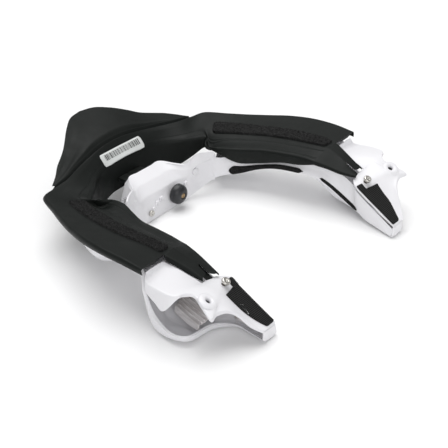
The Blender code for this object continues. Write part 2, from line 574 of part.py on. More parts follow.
def build_turn_knob(rubber, group):
    """The domed round knob, bored for its pin and recessed for the pin's head."""
    bore = REAR_PIN_RADIUS + RUNNING_FIT
    recess = PIN_HEAD_RADIUS + GAP
    profile = [(bore, KNOB_SEAT), (recess, KNOB_SEAT), (recess, KNOB_DOME),
               (KNOB_RADIUS * 0.6, KNOB_DOME * 0.94), (KNOB_RADIUS * 0.84, KNOB_DOME * 0.82),
               (KNOB_RADIUS * 0.97, KNOB_DOME * 0.66), (KNOB_RADIUS, KNOB_DOME * 0.5),
               (KNOB_RADIUS, KNOB_DOME * 0.06), (KNOB_RADIUS * 0.94, 0.0), (bore, 0.0),
               (bore, KNOB_SEAT)]
    lathe("turn_knob", profile, KNOB_AT, NECKWARD, rubber, group, sides=32)


def build_socket_liners(finish, group):
    """The ribbed guides that the front half of the brace slides along, in wing and tip."""
    shell_pair("socket_liner", surface(SOCKET_SECTIONS), LINER_WALL, finish, group)
    shell_pair("tip_liner", surface(TIP_LINER_SECTIONS), LINER_WALL, finish, group)


def upright(name, profile, foot, finish, group):
    """A turned piece that stands along +Z on a foot point."""
    return lathe(name, profile, foot, (0.0, 0.0, 1.0), finish, group, sides=16)


def build_frame_fixings(steel, white, chassis, group, cutters):
    """Screws up through the chassis floor and spacer tubes to the black flange."""
    spots = [(side, *at) for side in (1, -1) for at in FRAME_SCREWS_AT]
    for number, (side, x, y, floor, roof) in enumerate(spots, start=1):
        shell = chassis[0] if side > 0 else chassis[1]
        drill = rod("floor_drill", FRAME_SCREW_RADIUS + GAP, 12.0, (side * x, y, floor), (0, 0, 1), white)
        cut(shell, cutter(drill, cutters))
        stand = roof - floor - 6.4
        spacer = tube_profile(3.6, FRAME_SCREW_RADIUS + GAP, stand)
        upright(f"frame_spacer_{number}", spacer, (side * x, y, roof - 1.4), white, group)
        screw = [(0.0, roof - floor + 0.8), (FRAME_SCREW_RADIUS, roof - floor + 0.8),
                 (FRAME_SCREW_RADIUS, 0.0), (3.2, 0.0), (3.2, -1.8), (0.0, -1.8)]
        upright(f"frame_screw_{number}", screw, (side * x, y, floor - 1.8), steel, group)


def build_lobe_screws(steel, frame, group, cutters):
    """Screws from below that draw the tail lobe down on the band's tongue."""
    for number, (x, y, seat) in enumerate(LOBE_SCREWS_AT, start=1):
        drill = rod("tongue_drill", FRAME_SCREW_RADIUS + GAP, 9.0, (x, y, seat + 1.5), (0, 0, 1), steel)
        cut(frame, cutter(drill, cutters))
        screw = [(0.0, LOBE_SCREW_REACH), (FRAME_SCREW_RADIUS, LOBE_SCREW_REACH),
                 (FRAME_SCREW_RADIUS, 0.0), (3.0, 0.0), (3.0, -1.6), (0.0, -1.6)]
        upright(f"lobe_screw_{number}", screw, (x, y, seat - 1.2), steel, group)


def main():
    for old in list(bpy.data.objects):
        bpy.data.objects.remove(old, do_unlink=True)
    brace = collection("cervical_collar")
    cutters = collection("cutters")

    black = material("black_shell", (0.032, 0.034, 0.032), 0.55)
    white = material("white_shell", (0.86, 0.86, 0.88), 0.35)
    hook = material("hook_tape", (0.012, 0.012, 0.012), 0.95)
    steel = material("stainless_steel", (0.62, 0.60, 0.57), 0.25, 1.0)
    brass = material("brass", (0.62, 0.45, 0.22), 0.3, 1.0)
    rubber = material("knob_black", (0.015, 0.016, 0.018), 0.4)
    paper = material("label_film", (0.82, 0.83, 0.82), 0.4)

    frame = build_upper_frame(black, brace, cutters)
    build_tail_lobe(black, brace)
    chassis = shell_pair("chassis", surface(CHASSIS_SECTIONS), CHASSIS_WALL, white, brace)
    build_front_plates(white, brace, cutters)
    build_access_bushes(white, brace)
    build_rear_yoke(white, brace, cutters)
    build_hook_strips(hook, brace)
    build_label(paper, brace)
    build_front_screws(steel, brass, brace)
    build_rear_fixings(steel, brass, brace)
    build_turn_knob(rubber, brace)
    build_rear_bracket(black, brace)
    build_socket_liners(white, brace)
    build_frame_fixings(steel, white, chassis, brace, cutters)
    build_lobe_screws(steel, frame, brace, cutters)


main()
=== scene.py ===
"""Looks of the rigid neck brace (cervical collar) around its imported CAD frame."""
import math
import random

import bmesh
import bpy
from mathutils import Matrix, Vector, noise


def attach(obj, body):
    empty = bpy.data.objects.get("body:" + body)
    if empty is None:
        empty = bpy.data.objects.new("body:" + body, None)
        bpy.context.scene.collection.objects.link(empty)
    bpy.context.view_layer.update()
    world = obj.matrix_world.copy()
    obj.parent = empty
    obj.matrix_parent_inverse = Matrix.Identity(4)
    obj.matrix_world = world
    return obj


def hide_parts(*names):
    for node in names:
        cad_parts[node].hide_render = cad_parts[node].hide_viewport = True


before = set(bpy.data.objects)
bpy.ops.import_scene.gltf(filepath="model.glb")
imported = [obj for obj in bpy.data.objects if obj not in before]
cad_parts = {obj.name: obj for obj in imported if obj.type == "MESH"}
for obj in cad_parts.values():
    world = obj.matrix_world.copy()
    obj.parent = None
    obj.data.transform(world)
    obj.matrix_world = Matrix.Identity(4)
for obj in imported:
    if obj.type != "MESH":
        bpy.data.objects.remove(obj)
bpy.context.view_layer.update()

MM = 0.001
SHIFT_Y = -94.8         # design y runs from the front screws, as in the CAD model
GAP = 0.35              # clearance of strips and label from the shell below
FRAME_WALL = 2.5
CHASSIS_WALL = 2.4
STEPS = 6               # facets between two sections

# Black upper frame, flange front to rear centre. Each section runs from the outside to the
# neck: lip foot, lip side, outer edge, strip edges, valley, rim, foot of the neck wall.
FRAME_SECTIONS = [
    [(129.2, 37.2, 45.4), (129.8, 37.4, 47.8), (129.1, 37.6, 50.3), (106.0, 39.0, 49.0),
     (94.7, 40.0, 48.3), (86.0, 41.0, 45.2), (77.6, 42.5, 42.0), (77.8, 42.0, 39.0)],
    [(129.7, 55.0, 46.8), (130.3, 55.0, 49.2), (129.0, 55.0, 51.8), (105.6, 56.0, 49.6),
     (93.4, 57.0, 47.0), (84.0, 56.5, 44.4), (76.0, 56.0, 42.8), (76.2, 55.0, 35.4)],
    [(128.7, 76.0, 46.4), (129.3, 76.0, 48.8), (128.0, 76.0, 51.4), (105.0, 76.0, 48.2),
     (91.5, 76.0, 45.4), (81.0, 74.5, 43.0), (73.6, 72.0, 41.8), (73.8, 71.5, 33.0)],
    [(124.7, 96.6, 44.6), (125.3, 96.7, 47.0), (124.0, 96.4, 49.6), (102.2, 98.0, 46.0),
     (88.6, 96.0, 43.4), (78.0, 93.5, 40.6), (70.3, 90.0, 40.0), (70.5, 89.5, 28.0)],
    [(118.1, 115.6, 42.2), (118.7, 115.8, 44.6), (117.4, 115.2, 47.2), (97.8, 119.0, 43.8),
     (83.5, 115.0, 41.0), (73.0, 110.5, 37.6), (63.4, 106.0, 38.6), (63.6, 106.5, 25.5)],
    [(111.1, 132.2, 40.6), (111.7, 132.4, 43.0), (110.4, 131.6, 45.6), (93.0, 136.0, 42.4),
     (79.0, 130.5, 39.0), (68.0, 127.0, 33.5), (57.2, 121.0, 37.8), (57.4, 119.5, 31.0)],
    [(103.5, 148.6, 39.8), (104.1, 148.8, 42.2), (102.8, 148.0, 44.7), (87.5, 151.0, 41.2),
     (74.5, 143.0, 37.6), (65.0, 138.5, 28.0), (56.4, 134.7, 35.8), (56.8, 132.0, 33.2)],
    [(94.7, 167.4, 39.0), (95.5, 167.8, 41.2), (94.4, 166.6, 43.6), (84.5, 161.0, 40.8),
     (76.0, 153.0, 38.2), (71.5, 148.0, 37.3), (67.0, 143.5, 36.6), (64.5, 143.5, 28.0)],
    [(81.6, 176.2, 36.0), (81.8, 172.4, 38.8), (81.4, 170.6, 43.4), (77.0, 166.0, 41.2),
     (70.0, 159.0, 38.6), (65.5, 154.0, 37.4), (61.0, 149.5, 36.2), (57.5, 150.5, 20.5)],
    [(67.5, 181.5, 38.5), (66.3, 173.6, 40.0), (66.0, 172.3, 44.2), (62.5, 168.0, 42.2),
     (58.0, 162.5, 39.2), (55.0, 159.0, 37.2), (52.0, 156.0, 35.8), (46.5, 158.0, 13.5)],
    [(48.5, 188.5, 41.0), (46.3, 180.6, 41.0), (46.0, 179.3, 44.7), (44.0, 175.5, 42.6),
     (41.8, 171.5, 39.2), (40.2, 169.0, 37.0), (38.5, 167.0, 34.6), (36.0, 163.5, 13.0)],
    [(29.6, 192.5, 44.0), (28.7, 184.6, 42.8), (28.6, 183.3, 46.2), (27.4, 180.5, 44.2),
     (26.0, 177.2, 41.2), (24.5, 174.8, 38.4), (23.0, 173.0, 35.4), (22.0, 168.5, 13.0)],
    [(12.2, 193.4, 46.5), (12.0, 186.2, 44.8), (12.0, 184.8, 48.3), (12.0, 182.6, 46.2),
     (11.9, 178.6, 42.2), (11.8, 175.4, 38.8), (11.6, 172.4, 35.5), (11.2, 169.6, 13.0)],
    [(0.0, 193.6, 47.0), (0.0, 186.6, 45.3), (0.0, 185.2, 48.9), (0.0, 183.0, 46.8),
     (0.0, 178.8, 42.5), (0.0, 175.4, 39.0), (0.0, 172.0, 35.6), (0.0, 169.8, 13.0)],
]

# Black arm in front of the flange: foot of its outer side, then strip edge to wall foot.
ARM_SECTIONS = [
    [(99.9, 10.2, 36.3), (99.2, 10.8, 38.2), (92.3, 13.4, 38.2), (89.2, 10.3, 37.6),
     (86.2, 7.3, 37.0), (86.0, 7.6, 35.2)],
    [(101.9, 18.6, 38.6), (100.8, 19.6, 42.0), (92.2, 20.6, 42.0), (87.0, 20.2, 40.2),
     (82.1, 20.0, 38.2), (82.3, 19.6, 36.0)],
    [(103.6, 28.0, 41.6), (103.4, 29.8, 46.0), (93.6, 30.6, 45.4), (86.0, 30.8, 43.0),
     (79.8, 31.0, 40.6), (80.0, 30.4, 38.0)],
    [(105.0, 37.4, 44.0)] + FRAME_SECTIONS[0][3:],
]

# Tail lobe behind the band, centre to side: outline, middle, inner edge.
LOBE_SECTIONS = [
    [(0.0, 224.0, 59.8), (0.0, 205.0, 55.8), (0.0, 186.0, 50.6)],
    [(13.5, 221.0, 59.4), (12.5, 204.0, 55.2), (12.0, 185.7, 50.0)],
    [(26.0, 212.8, 57.4), (24.6, 199.5, 53.0), (23.0, 185.1, 48.6)],
    [(36.0, 204.6, 54.4), (34.6, 194.5, 50.4), (33.0, 183.4, 47.0)],
    [(44.0, 198.4, 51.2), (43.0, 190.0, 48.6), (42.0, 181.2, 46.2)],
    [(53.0, 192.4, 49.2), (52.8, 185.0, 47.0), (52.0, 178.2, 45.6)],
    [(62.4, 186.4, 47.4), (62.4, 180.0, 45.8), (62.0, 174.6, 45.2)],
    [(71.0, 179.4, 45.4), (72.0, 176.0, 44.6), (72.0, 172.7, 44.4)],
    [(79.4, 174.4, 42.6), (79.2, 173.4, 43.0), (79.0, 172.2, 43.4)],
]

# White chassis half, arm tip to rear: wall top, wall bend, bottom edge, then outwards under
# the wing, the shoulder arch and the rear pod to the shell's outer rim.
CHASSIS_SECTIONS = [
    [(77.8, -33.4, 7.2), (77.2, -33.0, 5.0), (76.0, -32.4, 1.2), (80.0, -33.2, 0.4),
     (84.0, -33.6, 0.4), (87.0, -33.6, 0.8), (89.6, -33.6, 1.6), (91.4, -33.6, 3.2)],
    [(78.2, -20.0, 14.8), (78.4, -20.0, 10.0), (78.6, -19.6, 2.6), (81.5, -19.8, 0.8),
     (84.0, -20.0, 0.4), (86.4, -20.2, 0.8), (88.6, -20.6, 1.6), (90.6, -21.0, 3.6)],
    [(78.8, -5.0, 23.2), (79.8, -5.0, 15.0), (81.2, -5.0, 5.8), (83.6, -6.0, 2.0),
     (86.0, -7.2, 0.8), (88.0, -8.4, 1.0), (90.0, -9.6, 2.4), (91.4, -10.6, 5.2)],
    [(79.8, 3.0, 27.8), (81.0, 3.0, 18.0), (82.8, 2.0, 7.8), (87.0, 1.6, 3.4),
     (93.0, 1.6, 1.2), (98.0, 1.4, 1.0), (102.0, 0.8, 2.4), (105.0, -1.0, 8.0)],
    [(84.2, 9.0, 29.6), (83.6, 8.6, 21.0), (83.0, 7.0, 9.6), (90.0, 6.6, 3.6),
     (101.0, 6.2, 1.2), (113.0, 5.4, 0.8), (121.4, 4.0, 2.4), (124.4, 2.2, 8.6)],
    [(85.4, 19.0, 34.0), (84.6, 18.8, 26.0), (82.2, 18.5, 16.0), (90.0, 18.2, 6.0),
     (102.0, 17.8, 1.6), (116.0, 17.2, 0.8), (127.4, 15.6, 2.2), (129.8, 13.6, 9.0)],
    [(83.2, 28.0, 36.0), (82.8, 28.0, 31.0), (80.4, 28.0, 22.4), (90.0, 29.0, 9.0),
     (103.0, 30.0, 2.6), (117.0, 30.6, 1.4), (127.2, 30.4, 4.0), (129.2, 28.4, 15.0)],
    [(82.2, 37.0, 37.2), (81.8, 37.0, 33.0), (79.0, 36.5, 26.8), (91.0, 38.5, 13.0),
     (104.0, 40.0, 8.0), (115.0, 40.4, 9.4), (124.4, 39.8, 17.0), (127.6, 38.6, 30.0)],
    [(81.2, 43.0, 37.4), (80.8, 43.0, 33.2), (78.2, 42.5, 27.2), (91.0, 46.0, 20.0),
     (104.0, 47.0, 18.0), (114.0, 46.6, 23.0), (120.6, 45.4, 33.0), (122.6, 44.4, 43.8)],
    [(79.8, 52.0, 37.8), (79.4, 52.0, 33.5), (76.6, 51.0, 27.8), (89.0, 54.0, 29.5),
     (101.0, 56.0, 32.0), (110.0, 56.0, 35.5), (117.0, 55.0, 39.5), (121.4, 54.0, 44.0)],
    [(77.4, 73.0, 36.8), (77.2, 72.5, 31.5), (73.4, 72.0, 26.6), (85.0, 75.0, 29.5),
     (96.0, 76.0, 32.0), (105.0, 76.0, 35.0), (113.0, 76.0, 38.5), (119.0, 76.0, 43.0)],
    [(74.0, 90.0, 35.4), (73.8, 89.5, 27.4), (70.2, 89.0, 22.4), (80.0, 92.0, 18.5),
     (91.0, 94.0, 16.5), (102.0, 95.6, 18.0), (111.0, 96.6, 26.0), (116.0, 95.0, 41.0)],
    [(68.4, 105.0, 32.8), (67.6, 105.0, 24.8), (64.2, 105.0, 15.6), (74.0, 109.0, 11.0),
     (86.0, 112.0, 8.6), (97.0, 113.4, 12.5), (105.0, 114.4, 23.6), (109.6, 113.0, 38.6)],
    [(63.0, 116.0, 28.8), (61.8, 115.5, 25.0), (58.6, 115.6, 12.6), (68.0, 122.0, 11.4),
     (80.0, 127.0, 10.6), (90.0, 129.0, 15.4), (97.0, 130.5, 24.0), (102.5, 129.4, 37.0)],
    [(55.8, 122.6, 28.6), (54.8, 122.4, 22.0), (52.4, 122.4, 9.6), (61.0, 131.0, 13.0),
     (72.0, 138.0, 14.0), (82.0, 142.5, 20.0), (90.0, 144.5, 28.0), (95.0, 144.6, 36.0)],
]

# White rear ring wall and the chute above its middle, side to centre: top edge, ledge, recess,
# lip, bottom edge.
CHUTE_SECTIONS = [
    [(51.6, 122.9, 35.3), (51.4, 123.4, 28.9), (52.0, 124.6, 28.2), (51.6, 125.2, 12.5),
     (51.0, 123.8, 9.4)],
    [(45.0, 127.0, 36.2), (44.8, 125.6, 28.4), (45.2, 128.0, 27.0), (45.0, 128.2, 11.0),
     (44.2, 126.2, 6.8)],
    [(37.8, 129.6, 36.6), (37.8, 127.6, 27.8), (38.0, 130.2, 26.2), (38.0, 129.8, 9.0),
     (37.6, 127.8, 4.2)],
    [(30.0, 136.3, 29.1), (30.0, 133.0, 24.5), (30.0, 131.0, 19.5), (30.0, 130.0, 8.0),
     (30.0, 128.6, 2.4)],
    [(19.0, 152.8, 31.1), (19.2, 142.5, 26.2), (19.4, 134.9, 19.4), (19.6, 130.4, 9.0),
     (20.0, 129.2, 0.5)],
    [(8.0, 153.4, 31.2), (8.0, 142.5, 26.2), (8.0, 134.6, 19.6), (8.0, 130.8, 10.0),
     (8.0, 129.8, 0.2)],
    [(0.0, 153.4, 31.2), (0.0, 142.5, 26.2), (0.0, 134.6, 19.6), (0.0, 130.8, 10.0),
     (0.0, 129.8, 0.2)],
]

# White front plate, flange to tip: inner edge, strip edge, body, outer edge, foot of its skirt.
PLATE_SECTIONS = [
    [(106.6, 38.8, 44.2), (113.0, 38.4, 45.2), (119.5, 37.8, 45.6), (125.4, 37.4, 45.8),
     (126.2, 37.8, 38.0)],
    [(104.8, 35.8, 42.4), (112.0, 35.9, 41.8), (122.0, 35.6, 41.2), (128.6, 34.8, 40.6),
     (128.0, 36.0, 32.8)],
    [(104.2, 27.0, 41.4), (112.0, 26.5, 41.6), (122.0, 25.0, 41.6), (130.6, 22.0, 41.2),
     (130.6, 25.6, 29.4)],
    [(102.8, 18.2, 38.8), (111.0, 17.0, 40.8), (121.0, 15.0, 41.5), (130.6, 11.6, 41.4),
     (131.6, 17.6, 27.0)],
    [(102.0, 14.0, 37.6), (109.5, 13.4, 40.0), (119.0, 11.6, 41.4), (128.0, 8.2, 41.4),
     (128.2, 7.8, 39.0)],
    [(100.8, 9.4, 35.4), (107.5, 9.6, 38.8), (115.5, 8.8, 41.0), (123.8, 6.6, 41.4),
     (124.0, 6.2, 39.0)],
    [(94.0, 12.6, 33.8), (102.0, 7.0, 37.0), (110.0, 4.4, 39.8), (119.0, 2.0, 40.0),
     (119.3, 1.8, 37.8)],
    [(85.0, 9.0, 33.4), (97.0, 3.6, 35.4), (109.0, -1.4, 38.6), (121.0, -6.0, 36.6),
     (121.4, -5.9, 34.4)],
    [(79.2, 3.2, 32.2), (94.0, -0.6, 33.2), (109.0, -7.6, 36.8), (124.2, -16.2, 31.8),
     (124.5, -16.6, 30.0)],
    [(78.6, -4.0, 27.8), (93.2, -4.8, 29.6), (104.0, -9.4, 33.6), (116.4, -14.6, 31.6),
     (116.5, -15.2, 29.4)],
    [(78.3, -12.0, 23.2), (92.6, -12.4, 24.2), (100.5, -14.6, 27.8), (108.0, -17.2, 30.2),
     (108.4, -17.7, 28.0)],
    [(78.1, -19.0, 19.2), (92.0, -19.6, 20.0), (97.5, -20.4, 22.4), (102.4, -21.6, 25.4),
     (103.0, -22.0, 23.4)],
    [(78.0, -27.0, 14.6), (88.5, -27.3, 15.0), (93.5, -27.6, 15.8), (97.6, -28.0, 17.4),
     (98.3, -28.1, 15.6)],
    [(77.8, -34.0, 10.6), (84.5, -34.4, 10.8), (88.5, -34.4, 11.0), (91.6, -34.4, 11.4),
     (92.2, -34.4, 9.8)],
]

# Ribbed socket liner in the wing, rear to front: from the neck side out to its turned edge.
SOCKET_SECTIONS = [
    [(89.0, 31.0, 19.0), (97.0, 31.0, 14.6), (104.0, 30.0, 12.0), (107.0, 29.0, 12.8), (108.4, 28.6, 8.4)],
    [(89.6, 16.0, 15.4), (99.0, 16.0, 12.0), (107.4, 15.5, 10.4), (110.0, 15.0, 11.4), (111.4, 14.6, 6.6)],
    [(90.0, 4.0, 12.4), (101.0, 4.0, 10.8), (109.0, 4.0, 9.8), (112.0, 4.0, 10.8), (113.2, 4.0, 6.6)],
]
TIP_LINER_SECTIONS = [
    [(86.2, -6.0, 14.6), (87.2, -6.6, 8.6), (88.4, -7.6, 8.2)],
    [(83.6, -20.0, 11.4), (85.0, -20.4, 6.8), (87.0, -20.8, 6.5)],
    [(82.0, -30.6, 7.8), (83.4, -31.0, 6.0), (87.0, -31.6, 5.8)],
]

FRONT_SCREW_AT = (89.6, -0.4, 34.6)
FRONT_SCREW_AXIS = (-0.10, -0.47, 0.88)
ACCESS_HOLE_AT = (115.0, -6.6, 36.6)
ACCESS_HOLE_AXIS = (-0.18, -0.42, 0.89)
REAR_SCREW_AT = (-19.1, 129.3, 7.4)
KNOB_AT = (10.8, 129.2, 12.7)
NECKWARD = (0.0, -1.0, 0.0)
SLOT_AT = (92.1, 16.0, 40.0)
SLOT_SIZE = (1.9, 9.0, 16.0)
SLOT_FLOOR_DROP = 2.9   # from the arm's face down to the dark floor below its slot
SCREW_HOLE_RADIUS = 1.9
BOSS_HOLE_RADIUS = 3.4
KNOB_PIN_SEAT = 6.55    # from the knob's back to the pin head's underside
LABEL_SIZE = 47.0
LABEL_EDGES = (180.1, 172.9)
LABEL_CORNER = 1.6


# ---------------------------------------------------------------- materials

class Nodes:
    """A short way to write a material's node tree."""

    def __init__(self, name):
        self.made = bpy.data.materials.new(name)
        self.made.use_nodes = True
        self.tree = self.made.node_tree
        self.shader = self.tree.nodes["Principled BSDF"]
        self.where = self.add("ShaderNodeTexCoord").outputs["Object"]

    def add(self, kind, **settings):
        node = self.tree.nodes.new(kind)
        for key, value in settings.items():
            setattr(node, key, value)
        return node

    def link(self, source, target):
        self.tree.links.new(source, target)

    def noise(self, scale, detail=4.0, roughness=0.5, stretch=None):
        node = self.add("ShaderNodeTexNoise")
        node.inputs["Scale"].default_value = scale
        node.inputs["Detail"].default_value = detail
        node.inputs["Roughness"].default_value = roughness
        source = self.where
        if stretch:
            mapping = self.add("ShaderNodeMapping")
            mapping.inputs["Scale"].default_value = stretch
            self.link(source, mapping.inputs["Vector"])
            source = mapping.outputs["Vector"]
        self.link(source, node.inputs["Vector"])
        return node.outputs["Fac"]

    def ramp(self, source, low, high, start=0.3, end=0.7):
        """Source from start to end, spread over low to high; numbers or colours."""
        node = self.add("ShaderNodeMapRange", clamp=True)
        if isinstance(low, tuple):
            node = self.add("ShaderNodeValToRGB")
            node.color_ramp.elements[0].position = start
            node.color_ramp.elements[1].position = end
            node.color_ramp.elements[0].color = (*low, 1.0)
            node.color_ramp.elements[1].color = (*high, 1.0)
            self.link(source, node.inputs["Fac"])
            return node.outputs["Color"]
        for key, value in (("From Min", start), ("From Max", end), ("To Min", low), ("To Max", high)):
            node.inputs[key].default_value = value
        self.link(source, node.inputs["Value"])
        return node.outputs["Result"]

    def maths(self, operation, a, b=None, clamp=False):
        node = self.add("ShaderNodeMath", operation=operation, use_clamp=clamp)
        for socket, value in zip(node.inputs, (a, b)):
            if value is None:
                continue
            if isinstance(value, (int, float)):
                socket.default_value = value
            else:
                self.link(value, socket)
        return node.outputs["Value"]

    def mix(self, factor, a, b):
        node = self.add("ShaderNodeMix", data_type="RGBA")
        self.link(factor, node.inputs["Factor"])
        for socket, value in ((node.inputs[6], a), (node.inputs[7], b)):
            if isinstance(value, tuple):
                socket.default_value = (*value, 1.0)
            else:
                self.link(value, socket)
        return node.outputs[2]

    def bump(self, height, distance, strength=1.0, before=None):
        node = self.add("ShaderNodeBump")
        node.inputs["Distance"].default_value = distance
        node.inputs["Strength"].default_value = strength
        self.link(height, node.inputs["Height"])
        if before:
            self.link(before, node.inputs["Normal"])
        return node.outputs["Normal"]

    def finish(self, colour, roughness, normal=None, metallic=0.0, specular=0.5):
        for key, value in (("Base Color", colour), ("Roughness", roughness), ("Normal", normal)):
            if value is None:
                continue
            if isinstance(value, tuple):
                self.shader.inputs[key].default_value = (*value, 1.0)
            elif isinstance(value, float):
                self.shader.inputs[key].default_value = value
            else:
                self.link(value, self.shader.inputs[key])
        self.shader.inputs["Metallic"].default_value = metallic
        self.shader.inputs["Specular IOR Level"].default_value = specular
        return self.made


def edge_wear(nodes, start=0.53, end=0.6):
    """1 on convex edges, broken up by noise."""
    point = nodes.add("ShaderNodeNewGeometry").outputs["Pointiness"]
    edges = nodes.ramp(point, 0.0, 1.0, start, end)
    return nodes.maths("MULTIPLY", edges, nodes.ramp(nodes.noise(260.0, 5.0), 0.0, 1.0, 0.45, 0.6))


def soft_touch(name, ribbed=False):
    """Matte black moulding with a fine spark grain; the band's trough has faint ribs."""
    n = Nodes(name)
    mottle = n.noise(28.0, 3.0)
    grain = n.noise(2600.0, 2.0)
    colour = n.ramp(mottle, (0.0088, 0.0104, 0.0095), (0.0118, 0.0136, 0.0126), 0.35, 0.68)
    worn = n.mix(n.maths("MULTIPLY", edge_wear(n), 0.3), colour, (0.03, 0.032, 0.03))
    rough = n.ramp(n.noise(90.0, 5.0), 0.36, 0.5, 0.3, 0.7)
    normal = n.bump(grain, 0.00006, 0.5)
    if ribbed:
        rails = n.add("ShaderNodeUVMap", uv_map="rails").outputs["UV"]
        across = n.add("ShaderNodeSeparateXYZ")
        n.link(rails, across.inputs["Vector"])
        place_across = across.outputs["Y"]
        inside = n.maths("MULTIPLY", n.ramp(place_across, 0.0, 1.0, 4.1, 4.4),
                         n.ramp(place_across, 1.0, 0.0, 5.6, 5.9))
        wave = n.maths("SINE", n.maths("MULTIPLY", place_across, 2.0 * math.pi * 2.4))
        normal = n.bump(n.maths("MULTIPLY", wave, inside), 0.00010, 1.0, normal)
    return n.finish(worn, rough, normal, specular=0.12)


def satin_white(name, tint=(0.83, 0.825, 0.85), roughness=(0.30, 0.42)):
    """Moulded white nylon: faint flow clouds, hairline scuffs and grime in the grain."""
    n = Nodes(name)
    cloud = n.noise(22.0, 4.0)
    warm = tuple(0.965 * c for c in tint)
    colour = n.ramp(cloud, warm, tint, 0.3, 0.65)
    scuff = n.noise(320.0, 4.0, 0.6, (1.0, 0.16, 1.0))
    marked = n.mix(n.ramp(scuff, 0.0, 0.16, 0.66, 0.74), colour, (0.46, 0.45, 0.47))
    rough = n.ramp(n.noise(140.0, 6.0), roughness[0], roughness[1], 0.3, 0.7)
    normal = n.bump(n.noise(1500.0, 2.0), 0.00004, 0.35)
    return n.finish(marked, rough, normal, specular=0.45)


def hook_tape(name, shade=0.008, ribbed=False):
    """Black nylon hook tape: stiff glossy bristles over a dull weave, with bright speckles in the colour as
    painted glints (painted highlight), or in crosswise rows whose raised rows are painted lighter (painted
    highlight).
    """
    n = Nodes(name)
    tufts = n.noise(1400.0, 5.0, 0.7)
    # painted highlight: the light end of this ramp paints glints on the hooks; the dark end is the weave's
    # own black
    colour = n.ramp(tufts, (shade * 0.3,) * 3, (shade * 6.0,) * 3, 0.45, 0.78)
    if ribbed:
        rails = n.add("ShaderNodeUVMap", uv_map="rails").outputs["UV"]
        along = n.add("ShaderNodeSeparateXYZ")
        n.link(rails, along.inputs["Vector"])
        wave = n.maths("COSINE", n.maths("MULTIPLY", along.outputs["X"], math.pi * STEPS))
        # painted highlight: the raised rows are painted lighter than the rows between them
        colour = n.mix(n.ramp(wave, 1.0, 0.0, -0.6, 0.4), (shade * 0.3,) * 3, (shade * 3.4,) * 3)
    normal = n.bump(tufts, 0.0004, 0.8)
    return n.finish(colour, n.ramp(tufts, 0.75, 0.45, 0.4, 0.7), normal, specular=0.16)


def turned_metal(name, colour, rough):
    """Machined metal: turning marks round the axis, dulled a little by handling."""
    n = Nodes(name)
    marks = n.noise(900.0, 4.0, 0.6, (1.0, 4.0, 1.0))
    dull = n.noise(240.0, 4.0)
    dark = tuple(0.72 * c for c in colour)
    shade = n.ramp(dull, dark, colour, 0.3, 0.6)
    return n.finish(shade, n.ramp(marks, rough, rough + 0.2, 0.3, 0.7), n.bump(marks, 0.00004, 0.5), 1.0)


def knob_black(name):
    n = Nodes(name)
    cloud = n.noise(160.0, 4.0)
    colour = n.ramp(cloud, (0.010, 0.011, 0.013), (0.019, 0.020, 0.023), 0.3, 0.7)
    worn = n.mix(n.maths("MULTIPLY", edge_wear(n), 0.3), colour, (0.07, 0.07, 0.075))
    return n.finish(worn, n.ramp(cloud, 0.3, 0.46), n.bump(n.noise(1800.0), 0.00004, 0.4))


def label_film(name):
    n = Nodes(name)
    wash = n.noise(120.0, 3.0)
    colour = n.ramp(wash, (0.66, 0.68, 0.67), (0.74, 0.76, 0.75), 0.3, 0.7)
    return n.finish(colour, n.ramp(n.noise(400.0), 0.3, 0.45), n.bump(wash, 0.00008, 0.3))


def label_ink(name):
    n = Nodes(name)
    spots = n.noise(1500.0, 3.0)
    colour = n.ramp(spots, (0.03, 0.03, 0.03), (0.09, 0.09, 0.09), 0.4, 0.7)
    return n.finish(colour, n.ramp(spots, 0.5, 0.65), n.bump(spots, 0.00002, 0.3))


def liner_painted_shade(name):
    """Brownish-grey of the channels as painted shade on white plastic, darker in stretched noise blotches of
    painted shade.
    """
    n = Nodes(name)
    shade_blotches = n.noise(180.0, 5.0, 0.6, (1.0, 0.25, 1.0))
    # painted shade: the channels' white plastic is coloured brownish-grey for the shade inside them
    colour = n.ramp(shade_blotches, (0.50, 0.46, 0.45), (0.84, 0.81, 0.81), 0.3, 0.6)
    return n.finish(colour, n.ramp(shade_blotches, 0.6, 0.4), n.bump(n.noise(1300.0), 0.00006, 0.5))


BLACK_RIBBED = soft_touch("black_shell_ribbed", ribbed=True)
BLACK = soft_touch("black_shell_plain")
WHITE = satin_white("white_shell_moulded")
TAPE = hook_tape("hook_tape_black_painted_glints")
TAPE_ROWS = hook_tape("hook_tape_rows_painted_row_light", 0.009, True)
STEEL = turned_metal("steel_turned", (0.66, 0.64, 0.60), 0.2)
BRASS = turned_metal("brass_turned", (0.42, 0.30, 0.17), 0.3)
KNOB_BLACK = knob_black("latch_black_satin")
FILM = label_film("label_film_white")
INK = label_ink("label_ink_black")
LINER = liner_painted_shade("liner_grey_ribbed")


# ---------------------------------------------------------------- shells

def place(point):
    """A design point, in millimetres, as a world point in metres."""
    return Vector((point[0], point[1] + SHIFT_Y, point[2])) * MM


def curve_through(points, steps):
    """Points along a Catmull-Rom curve through the given points, with steps per span."""
    points = [Vector(p) for p in points]
    ends = [2 * points[0] - points[1]] + points + [2 * points[-1] - points[-2]]
    result = []
    for a, b, c, d in zip(ends, ends[1:], ends[2:], ends[3:]):
        for step in range(steps):
            t = step / steps
            result.append(0.5 * (2 * b + (c - a) * t + (2 * a - 5 * b + 4 * c - d) * t * t
                                 + (3 * b - a - 3 * c + d) * t ** 3))
    return result + [points[-1]]


def surface(sections, steps=STEPS):
    """Rows of points, one row per facet line, smooth along the sections' rails."""
    rails = [curve_through(rail, steps) for rail in zip(*sections)]
    return [list(row) for row in zip(*rails)]


